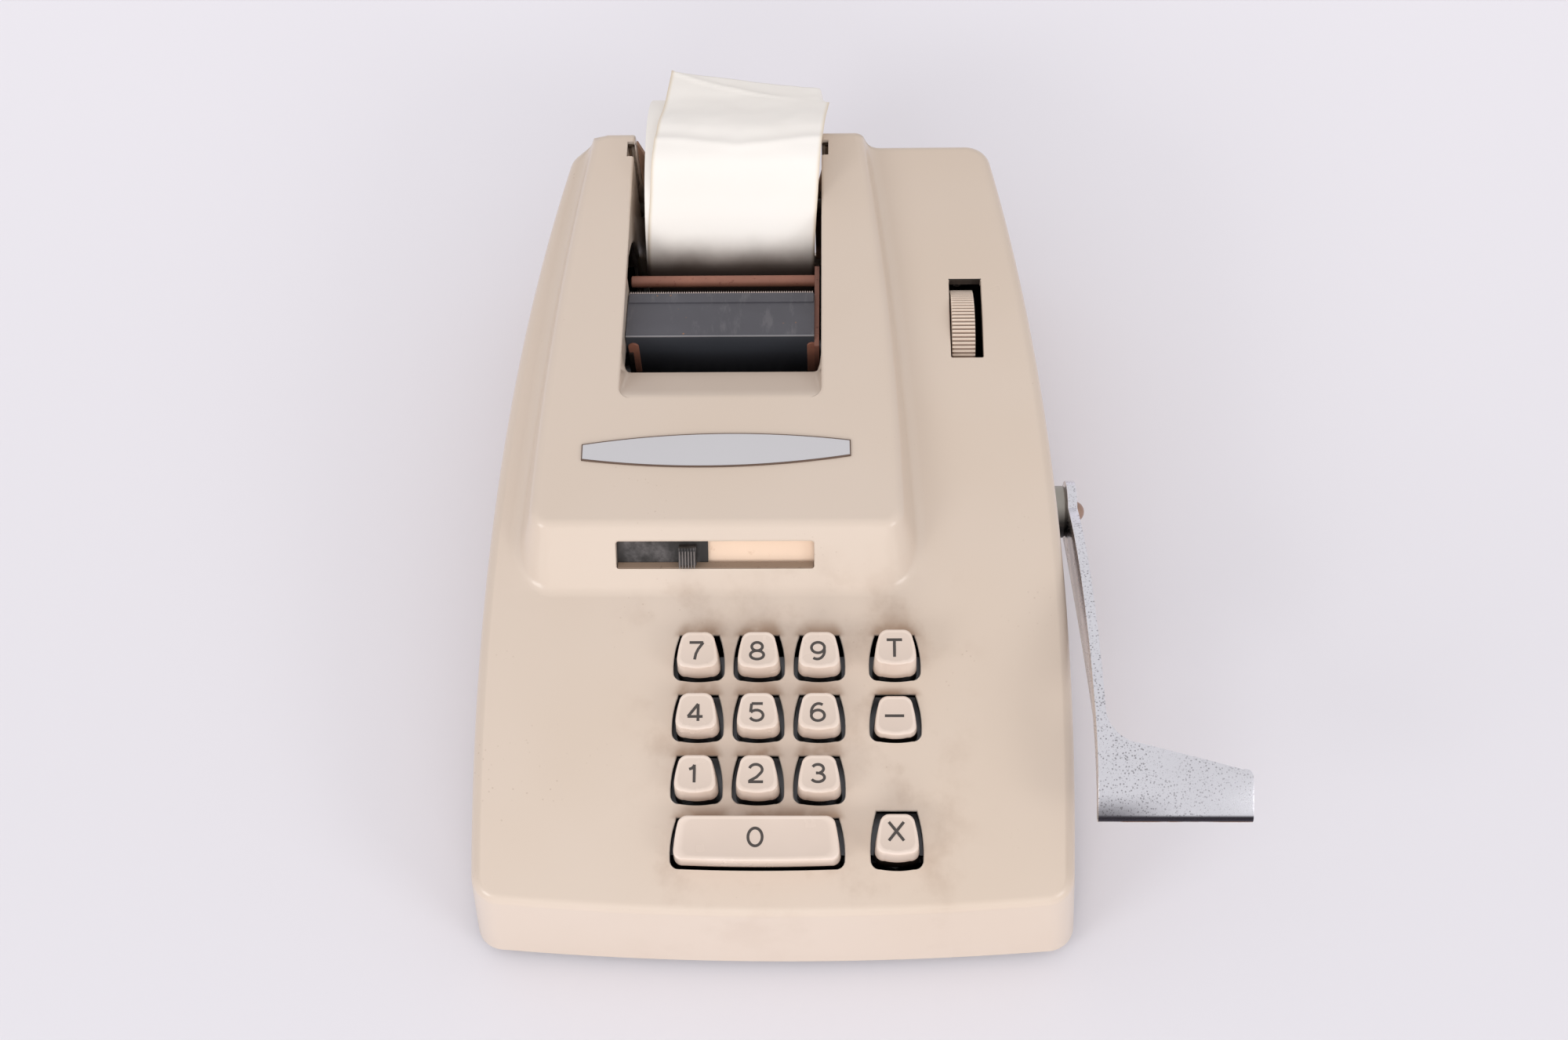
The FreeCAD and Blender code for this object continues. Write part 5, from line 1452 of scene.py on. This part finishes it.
class ADDING_OT_keys(bpy.types.Operator):
    """Key caps with their digits"""
    bl_idname = "adding.keys"
    bl_label = "Keys"

    def execute(self, context):
        settings = context.scene.adding_keys
        finish = key_finish(tuple(settings.colour))
        ink = plain_finish("legend_ink", tuple(settings.ink), 0.35, change=0.15, scale=200.0)
        for name, legend, x, y, width, length, height in key_layout():
            gaps = cap_gaps(name, height)
            middle = (gaps[1][1] - gaps[2][1]) / 2
            cap = self.cap(name, (x, y), (width, length, height), gaps, middle, settings)
            finish_piece(cap, finish, "key_" + name, "key_plastic", "key_cap_" + name)
            mark = self.legend(name, legend, (x, y), height, middle, settings)
            finish_piece(mark, ink, "key_" + name, "key_plastic")
        return {"FINISHED"}

    def cap(self, name, place, size, gaps, middle, settings):
        """A closed cap with a skirt, a rolled rim and a dished top; "level" shades it from foot to top."""
        width, length, height = size
        x, y = place
        low = -SKIRT_DEPTH
        rings, levels = [], []

        def ring(share, inset, level, height_at):
            side, front, rear = (start + (end - start) * share + inset for start, end in gaps)
            outline = cap_outline(width, length, side, front, rear, settings.steps)
            rings.append([(px, py, height_at(py)) for px, py in outline])
            levels.append(level)

        for inset, z in ((1.4, low), (0.2, low), (0.0, low + 0.2)):
            ring(0.0, inset, -1.0, lambda py: z)
        rim = settings.round_mm
        for z in (-1.5, 0.0, 0.33 * (height - rim), 0.67 * (height - rim)):
            ring((z - low) / (height - low), 0.0, z / height if z > 0 else z, lambda py: z)
        steps = 6
        for step in range(steps + 1):
            angle = math.pi / 2 * step / steps
            drop = rim * (1 - math.sin(angle))
            ring(1.0, rim * (1 - math.cos(angle)) - 0.05 * (1 - step / steps), 0.8,
                 lambda py: cap_top(height, py - middle) - drop)
        top = rings[-1]
        for scale in (0.93, 0.84, 0.7, 0.55, 0.35, 0.15):
            shrunk = [(px * scale, middle + (py - middle) * scale) for px, py, _ in top]
            rings.append([(px, py, cap_top(height, py - middle)) for px, py in shrunk])
            levels.append(min(2.0, 0.9 + 6 * (0.96 - scale)))
        count = len(top)
        vertices = [on_key_plane(x, y, *point) for line in rings for point in line]
        faces = bands(len(rings), count)
        for row, centre in ((0, (0, 0, low)), (len(rings) - 1, (0, middle, cap_top(height, 0)))):
            vertices.append(on_key_plane(x, y, *centre))
            for spot in range(count):
                faces.append((row * count + spot, row * count + (spot + 1) % count, len(vertices) - 1))
        cap = make_object("cap_" + name, vertices, faces)
        values = [level for level in levels for _ in range(count)] + [levels[0], levels[-1]]
        cap.data.attributes.new("level", "FLOAT", "POINT").data.foreach_set("value", values)
        outward(cap)
        sharpen(cap, 50)
        return cap

    def legend(self, name, text, place, height, middle, settings):
        """Digits of even line width that lie on the dished top."""
        scale = settings.legend_mm
        shift = {"repeat": 1.3, "0": 0.6, "1": 0.5, "2": 0.6, "3": 0.6}.get(name, 0.1)
        vertices, faces = [], []
        for number, points in enumerate(GLYPHS[text]):
            closed = math.dist(points[0], points[-1]) < 1e-6
            line = [(px * scale, (py - 0.5) * scale) for px, py in (points[:-1] if closed else points)]
            pairs = ribbon(line, settings.line_mm, closed)
            first = len(vertices)
            lift = 0.03 + 0.004 * number
            for point in (point for pair in pairs for point in pair):
                py = point.y + shift
                pz = cap_top(height, py - middle) + lift
                vertices.append(on_key_plane(*place, point.x - 0.35, py, pz))
            for spot in range(len(pairs) - (0 if closed else 1)):
                a, b = first + 2 * spot, first + 2 * ((spot + 1) % len(pairs))
                faces.append((a, a + 1, b + 1, b))
        return make_object("digit_" + name, vertices, faces, False)


class ADDING_OT_name_plate(bpy.types.Operator):
    """Bare metal name plate"""
    bl_idname = "adding.name_plate"
    bl_label = "Name plate"

    def execute(self, context):
        low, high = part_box("name_plate")
        middle = (low + high) / 2

        def section(grow, lift):
            """The plate's bowed outline on the hump, a little askew as the plate was glued."""
            points = []
            for side in (1, -1):
                for step in range(31):
                    share = side * (1 - 2 * step / 30)
                    bow = PLATE_HALF * (PLATE_END + (1 - PLATE_END) * (1 - share * share))
                    across, along = (PLATE_REACH + grow) * share, side * (bow + grow)
                    x = middle.x / MM + ORIGIN_X + (across - PLATE_SKEW * along)
                    y = middle.y / MM + ORIGIN_Y - 0.3 + (along + PLATE_SKEW * across)
                    points.append(at(x, y, hump_z(y) + lift))
            return points

        plate = small_block("name_plate", [section(0, -1.0), section(0, 0.5), section(-0.08, 0.6)])
        metal = plain_finish("plate_metal", linear(206, 204, 207), 0.42, 0.25, 0.02, 40.0)
        finish_piece(plate, metal, "case", "plate_metal", "name_plate")
        steps = ((0.2, -0.3), (0.2, 0.5), (0.05, 0.64), (-0.16, 0.64), (-0.16, 0.3))
        sections = [section(grow, lift) for grow, lift in steps]
        faces = bands(len(sections), len(sections[0]), True)
        rim = make_object("plate_rim", [point for points in sections for point in points], faces)
        outward(rim)
        brown = plain_finish("plate_rim", linear(104, 84, 72), 0.5, 0.2, 0.2, 120.0)
        finish_piece(rim, brown, "case", "plate_metal")
        return {"FINISHED"}


class ADDING_OT_indicator(bpy.types.Operator):
    """Slide, knob and scale in the window"""
    bl_idname = "adding.indicator"
    bl_label = "Indicator"

    def execute(self, context):
        slide = softened("indicator_slide", "indicator_slide", 0.12)
        finish_piece(slide, slide_finish(), "carriage", "slide_black", "indicator_slide")
        scale = plain_finish("scale_cream", linear(240, 212, 188), 0.5, change=0.06, scale=40.0,
                             wear=linear(196, 150, 110), wear_share=0.3)
        dress(scale, "indicator_scale")
        pitch = (KNOB_RIGHT - KNOB_LEFT) / KNOB_RIBS
        rings = []
        for inset, up in ((0.0, 0.5), (0.0, 1.0), (0.12, 1.12)):
            left, right = 0.05 + inset, pitch * 0.6 - inset
            corners = ((left, inset), (right, inset), (right, KNOB_RISE - inset), (left, KNOB_RISE - inset))
            rings.append([on_slope(KNOB_LEFT + across, KNOB_LOW + along, up) for across, along in corners])
        rib = small_block("knob_ribs", rings)
        self.ledge()
        light = plain_finish("rib_grey", linear(112, 104, 101), 0.4, change=0.2, scale=200.0)
        ribs = repeated("knob_ribs", rib, light, KNOB_RIBS, (pitch * MM, 0.0, 0.0))
        finish_piece(ribs, light, "carriage", "slide_black")
        return {"FINISHED"}

    def ledge(self):
        """The leaning lower side of the window, in housing plastic painted darker, with dark spots."""
        foot = -WINDOW_HEIGHT / 2 - WINDOW_DROP
        section = ((foot - 0.3, -0.35), (foot + 0.02, -0.35), (foot + 1.1, -2.75), (foot - 0.3, -2.75))
        ends = [[on_slope(x, along, up) for along, up in section]
                for x in (WINDOW_LEFT + 0.3, WINDOW_RIGHT - 0.3)]
        darker_plastic = plain_finish("darker_housing", linear(150, 128, 110), 0.5, change=0.12, scale=60.0,
                             wear=linear(96, 74, 60), wear_share=0.5)
        finish_piece(small_block("window_ledge", ends), darker_plastic, "case", "housing")


class ADDING_OT_printer(bpy.types.Operator):
    """Tear plate, blade, guide bar and brackets"""
    bl_idname = "adding.printer"
    bl_label = "Printing head"

    def execute(self, context):
        red = plain_finish("red_enamel", linear(150, 100, 82), 0.5, change=0.3, scale=90.0,
                           wear=linear(108, 60, 44), wear_share=0.7)
        plate = plate_finish()
        thin = BAR_RADIUS - 0.3
        profile = [(PLATE_LEFT, thin), (PLATE_LEFT + 0.3, BAR_RADIUS), (12.7, BAR_RADIUS), (13.0, thin)]
        bar = turned("guide_bar", profile, BAR_Y, BAR_Z)
        finish_piece(bar, red, "case", "red_enamel", "paper_guide_bar")
        enamel = bracket_finish()
        foot = [(222.0, 52.0), (212.0, 7.0), (193.0, 7.0), (193.0, 44.0), (188.0, 55.0)]
        heads = {"left_bracket": (-50.7, [(188.0, 70.0), (209.0, 70.0), (222.0, 60.0)]),
                 "right_bracket": (12.8, [(188.0, 74.2), (191.0, 76.9), (208.5, 75.6), (222.0, 75.0)])}
        for name, (x, head) in heads.items():
            bracket = slab(name, head + foot, x, x + 1.6)
            finish_piece(bracket, enamel, "case", "red_enamel", "platen_brackets")
        sheet, low = 1.2, 55.0
        fall = (TEAR_Z - FOLD_Z) / (TEAR_Y - FOLD_Y)
        outline = [(FOLD_Y, low), (FOLD_Y, FOLD_Z - 0.6), (FOLD_Y + 0.18, FOLD_Z - 0.18),
                   (FOLD_Y + 0.6, FOLD_Z), (TEAR_Y, TEAR_Z), (TEAR_Y, TEAR_Z - sheet),
                   (FOLD_Y + sheet, FOLD_Z + sheet * fall - sheet), (FOLD_Y + sheet, low)]
        folded = slab("tear_plate", outline, PLATE_LEFT, PLATE_RIGHT)
        finish_piece(folded, plate, "case", "black_enamel", "tear_plate")
        self.blade(plate, fall)
        self.tabs(red)
        dress(plain_finish("platen_rubber", (0.03, 0.03, 0.03), 0.6), "platen_roller")
        return {"FINISHED"}

    def blade(self, finish, fall):
        """The thin strip along the plate's rear edge and its row of teeth."""
        left, right = PLATE_LEFT + 0.4, PLATE_RIGHT - 0.3

        def place(x, y, lift):
            return at(x, TEAR_Y + y, TEAR_Z + y * fall + lift)

        section = ((-4.0, 0.0), (-4.0, 0.45), (-3.85, 0.6), (0.0, 0.6), (0.0, 0.0))
        ends = [[place(x, y, lift) for y, lift in section] for x in (left, right)]
        strip = small_block("tear_strip", ends)
        finish_piece(strip, finish, "case", "black_enamel", "tear_blade")
        corners = ((left + TOOTH_GAP, 0.0), (left + TOOTH_PITCH - TOOTH_GAP, 0.0),
                   (left + TOOTH_PITCH / 2, TOOTH_DEPTH))
        tooth = small_block("teeth", [[place(x, y, lift) for x, y in corners] for lift in (0.05, 0.62)])
        pale = plain_finish("tooth_steel", linear(188, 172, 164), 0.35, 0.4, 0.15, 200.0)
        count = int((right - left) / TOOTH_PITCH)
        teeth = repeated("teeth", tooth, pale, count, (TOOTH_PITCH * MM, 0.0, 0.0))
        finish_piece(teeth, pale, "case", "blade_steel")

    def tabs(self, finish):
        """The brackets' round-headed feet in front of the plate's flange."""
        half = 1.8
        outline = [(-half, -14.0), (half, -14.0)] + bend(0, 0, half, half, 0, 180, 12)
        for name, x in (("left_tab", -48.9), ("right_tab", 12.1)):
            rings = []
            for inset, y in ((0.0, 0.05), (0.0, -0.45), (0.15, -0.6)):
                wide, tall = 1 - inset / 2, 1 - inset / 12
                rings.append([at(x + px * wide, FOLD_Y + y, 72.8 + pz * tall) for px, pz in outline])
            finish_piece(small_block(name, rings), finish, "case", "red_enamel")


class ADDING_OT_paper(bpy.types.Operator):
    """Paper roll and loose tape"""
    bl_idname = "adding.paper"
    bl_label = "Paper"

    def execute(self, context):
        settings = context.scene.adding_paper
        colour = tuple(settings.colour)
        roll = softened("paper_roll", "paper_roll", 0.3, 2)
        finish_piece(roll, paper_finish("paper_roll", colour, True), "supply_roll", "paper", "paper_roll")
        tape = self.tape(settings)
        finish_piece(tape, paper_finish("paper_tape", colour), "case", "paper", "paper_tape")
        return {"FINISHED"}

    def path(self):
        """The tape's path in Y and Z: up round the roll's front, loose over its top and down to its end."""
        reach = ROLL_RADIUS + 0.35
        knots = []
        for turn in (-35, -15, 5, 25, 42, 54):
            angle = math.radians(turn)
            knots.append((ROLL_Y - reach * math.cos(angle), ROLL_Z + reach * math.sin(angle)))
        knots += [(251.8, 97.8), (265.4, 99.2), (283.9, 92.0), (TAPE_END_Y, 87.0)]
        points = []
        for place in range(len(knots) - 1):
            near = [min(max(place + n, 0), len(knots) - 1) for n in (-1, 0, 1, 2)]
            before, first, last, after = (Vector(knots[n]) for n in near)
            for step in range(14):
                share = step / 14
                points.append(0.5 * (2 * first + (last - before) * share
                                     + (2 * before - 5 * first + 4 * last - after) * share ** 2
                                     + (3 * first - before - 3 * last + after) * share ** 3))
        return points + [Vector(knots[-1])]

    def tape(self, settings):
        """The sheet with its creases, its skewed torn end and the corner that hangs down."""
        path = self.path()
        lengths = [0.0]
        for first, last in zip(path, path[1:]):
            lengths.append(lengths[-1] + (last - first).length)
        total = lengths[-1]
        columns = 48
        upper, lower = [], []
        for row, centre in enumerate(path):
            run = (path[min(row + 1, len(path) - 1)] - path[max(row - 1, 0)]).normalized()
            up = Vector((-run.y, run.x))
            end = (total - lengths[row]) / total
            for column in range(columns + 1):
                u = column / columns
                place = centre - run * (6.5 * u * soft_step((0.16 - end) / 0.16))
                left = TAPE_END_Y - place.x
                corner, near_end = soft_step((u - 0.9) / 0.1), soft_step((16 - left) / 10)
                lift = settings.crumple_mm * self.creases(u, lengths[row], total)
                lift += 4.6 * (1 - u) ** 1.3 * soft_step((24 - left) / 24)
                lift -= 7.0 * corner ** 2 * near_end
                place = place + up * (0.15 + lift)
                x = TAPE_LEFT + ROLL_WIDTH * u + 0.1 * (centre.x - TAPE_FOOT_Y)
                x -= 2.6 * corner * near_end
                upper.append(at(x, place.x, place.y))
                lower.append(at(x, place.x - up.x * TAPE_THICK, place.y - up.y * TAPE_THICK))
        width, rows = columns + 1, len(path)
        count = rows * width
        faces = []
        for face in bands(rows, width, turn_spots=False):
            faces += [face, tuple(count + n for n in reversed(face))]
        ring = [row * width for row in range(rows)] + [(rows - 1) * width + c for c in range(1, width)]
        ring += [row * width + columns for row in range(rows - 2, -1, -1)] + list(range(columns - 1, 0, -1))
        for place, a in enumerate(ring):
            b = ring[(place + 1) % len(ring)]
            faces.append((a, b, count + b, count + a))
        sheet = make_object("paper_tape", upper + lower, faces)
        outward(sheet)
        return sheet

    def creases(self, u, length, total):
        """How far the sheet stands off its path, from -1 to 1: two folds and soft wrinkles."""
        share = 0.655 + 0.012 * math.sin(7 * u + 1) + 0.006 * noise.noise(Vector((9 * u, 0, 3)))
        fold = length - total * share
        value = 0.5 * math.exp(-(fold / 1.5) ** 2) - 0.3 * soft_step(1 - abs(fold - 4) / 4)
        slant = length - (total - 1.0 - 15.5 * u)
        if u < 0.78:
            value += 0.75 * math.exp(-(slant / 0.9) ** 2) * soft_step((0.78 - u) / 0.2)
        loose = soft_step((length - total * 0.5) / (total * 0.25))
        value += 0.6 * loose * noise.noise(Vector((3.2 * u, length / 13, 0)))
        value += 0.22 * (0.25 + loose) * noise.noise(Vector((9 * u, length / 6, 5)))
        return value


class ADDING_OT_wheel(bpy.types.Operator):
    """Ribbed finger wheel"""
    bl_idname = "adding.wheel"
    bl_label = "Finger wheel"

    def execute(self, context):
        finish = plain_finish("wheel_plastic", linear(228, 210, 194), 0.35, change=0.06, scale=80.0)
        low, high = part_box("feed_wheel")
        x0, x1 = low.x / MM + ORIGIN_X, high.x / MM + ORIGIN_X
        profile = [(x0, 3.02), (x0, 18.9), (x0 + 0.5, 19.35), (x1 - 0.5, 19.35), (x1, 18.9), (x1, 16.0),
                   (x1 - 2, 15.9), (x1 - 2, 6.0), (x1, 6.0), (x1, 3.02)]
        # Painted shade: the wheel's core, seen between the ribs, is darker than the ribs.
        groove = plain_finish("wheel_groove", linear(150, 130, 116), 0.45, change=0.06, scale=80.0)
        wheel = turned("wheel", profile, WHEEL_Y, WHEEL_Z, 120, True)
        finish_piece(wheel, groove, "platen", "wheel_plastic", "feed_wheel")
        half = math.pi * WHEEL_RADIUS / WHEEL_RIBS
        section = ((-0.5, 19.2), (-0.42, 19.8), (-0.22, WHEEL_RADIUS),
                   (0.22, WHEEL_RADIUS), (0.42, 19.8), (0.5, 19.2))
        rings = [[Vector((x * MM, share * half * MM, radius * MM)) for share, radius in section]
                 for x in (x0 + 0.15 - ORIGIN_X, x1 - 0.15 - ORIGIN_X)]
        rib = small_block("wheel_ribs", rings)
        ribs = repeated("wheel_ribs", rib, finish, WHEEL_RIBS, turn=(2 * math.pi / WHEEL_RIBS, 0.0, 0.0))
        ribs.data.transform(Matrix.Translation(at(ORIGIN_X, WHEEL_Y, WHEEL_Z)))
        finish_piece(ribs, finish, "platen", "wheel_plastic")
        return {"FINISHED"}


class ADDING_OT_lever(bpy.types.Operator):
    """Chrome lever with its screw and hub"""
    bl_idname = "adding.lever"
    bl_label = "Lever"

    def execute(self, context):
        arm = softened("lever", "crank_arm", 0.75, 4, 25)
        finish_piece(arm, chrome_finish(), "crank", "chrome", "crank_arm")
        hub = turned("lever_hub", [(88.0, 8.0), (88.4, 8.9), (97.2, 8.9), (98.0, 8.3)], CRANK_Y, CRANK_Z)
        finish_piece(hub, hub_finish(), "crank", "hub_black", "crank_hub")
        turns = [math.radians(12 * step) for step in range(8)]
        dome = [(101.0 + 3.7 * math.sin(turn), 3.7 * math.cos(turn)) for turn in turns]
        screw = turned("lever_screw", [(100.9, 3.4)] + dome, CRANK_Y, CRANK_Z)
        brown = plain_finish("screw_brown", linear(168, 138, 122), 0.35, 0.6, 0.3, 200.0,
                             linear(96, 60, 40), 0.7)
        finish_piece(screw, brown, "crank", "screw_brown", "crank_screw")
        return {"FINISHED"}


class ADDING_OT_springs(bpy.types.Operator):
    """One return spring for each key"""
    bl_idname = "adding.springs"
    bl_label = "Springs"

    def execute(self, context):
        steel = plain_finish("spring_steel", (0.42, 0.42, 0.42), 0.35, 0.9)
        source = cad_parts["key_springs"].data
        keys = {}
        for name, _, x, y, _, _, _ in key_layout():
            foot = on_key_plane(x, y, 0, 0, 0)
            keys[name] = (foot, (on_key_plane(x, y, 0, 0, 1) - foot).normalized())

        def distance(point, name):
            foot, axis = keys[name]
            away = point - foot
            return (away - axis * away.dot(axis)).length

        owner = [min(keys, key=lambda name: distance(vertex.co, name)) for vertex in source.vertices]
        for name, (foot, axis) in keys.items():
            own = [number for number, key in enumerate(owner) if key == name]
            place = {number: order for order, number in enumerate(own)}
            faces = [[place[v] for v in face.vertices]
                     for face in source.polygons if owner[face.vertices[0]] == name]
            spring = make_object("spring_" + name, [source.vertices[number].co for number in own], faces)
            finish_piece(spring, steel, "case", "screw_steel", "key_springs")
            heights = [(source.vertices[number].co - foot).dot(axis) for number in own]
            low, high = min(heights), max(heights)
            share = (high - low - KEY_TRAVEL * MM) / (high - low)
            "press_" + name
            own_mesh(spring)
        return {"FINISHED"}


class ADDING_OT_inner(bpy.types.Operator):
    """Base, feet and everything inside the case"""
    bl_idname = "adding.inner"
    bl_label = "Inside"

    def execute(self, context):
        steel = plain_finish("frame_steel", (0.42, 0.42, 0.44), 0.38, 0.9, 0.12, 50.0, (0.3, 0.28, 0.24), 0.3)
        stems = ["key_stem_" + key[0] for key in key_layout()]
        dress(steel, "left_frame", "right_frame", "frame_tie_bars", "key_guide_upper", "key_guide_lower",
              "carriage_rails", "pin_carriage", "platen_shaft", "type_shaft", "type_sectors", "main_shaft",
              *stems)
        dress(plain_finish("spindle_brown", linear(70, 54, 46), 0.5, 0.3), "paper_spindle")
        dress(plain_finish("screw_steel", (0.5, 0.5, 0.52), 0.3, 0.95, 0.1, 150.0), "cover_screws")
        brass = plain_finish("bush_brass", (0.62, 0.45, 0.2), 0.32, 0.95, 0.12, 90.0)
        dress(brass, "shaft_bushes", "drive_gear", "type_gear")
        dress(plain_finish("dark_base", (0.03, 0.03, 0.03), 0.5, 0.0, 0.2, 40.0), "base_plate")
        dress(plain_finish("foot_rubber", (0.025, 0.025, 0.025), 0.7), "rubber_feet")
        return {"FINISHED"}


OPERATORS = (ADDING_OT_stage, ADDING_OT_cover, ADDING_OT_keys, ADDING_OT_name_plate,
             ADDING_OT_indicator, ADDING_OT_printer, ADDING_OT_paper, ADDING_OT_wheel, ADDING_OT_lever,
             ADDING_OT_springs, ADDING_OT_inner)
SETTINGS = (("adding_stage", StageSettings), ("adding_cover", CoverSettings), ("adding_keys", KeySettings),
            ("adding_paper", PaperSettings))


class ADDING_PT_panel(bpy.types.Panel):
    """A button for each kind of piece"""
    bl_idname = "ADDING_PT_panel"
    bl_label = "Adding machine"
    bl_space_type = "VIEW_3D"
    bl_region_type = "UI"
    bl_category = "Adding machine"

    def draw(self, context):
        for operator in OPERATORS:
            self.layout.operator(operator.bl_idname)


def register():
    for name, settings in SETTINGS:
        bpy.utils.register_class(settings)
        setattr(bpy.types.Scene, name, PointerProperty(type=settings))
    for operator in OPERATORS:
        bpy.utils.register_class(operator)
    bpy.utils.register_class(ADDING_PT_panel)


def unregister():
    bpy.utils.unregister_class(ADDING_PT_panel)
    for operator in reversed(OPERATORS):
        bpy.utils.unregister_class(operator)
    for name, settings in reversed(SETTINGS):
        delattr(bpy.types.Scene, name)
        bpy.utils.unregister_class(settings)


def main():
    register()
    for operator in OPERATORS:
        group, name = operator.bl_idname.split(".")
        getattr(getattr(bpy.ops, group), name)()


if __name__ == "__main__":
    main()
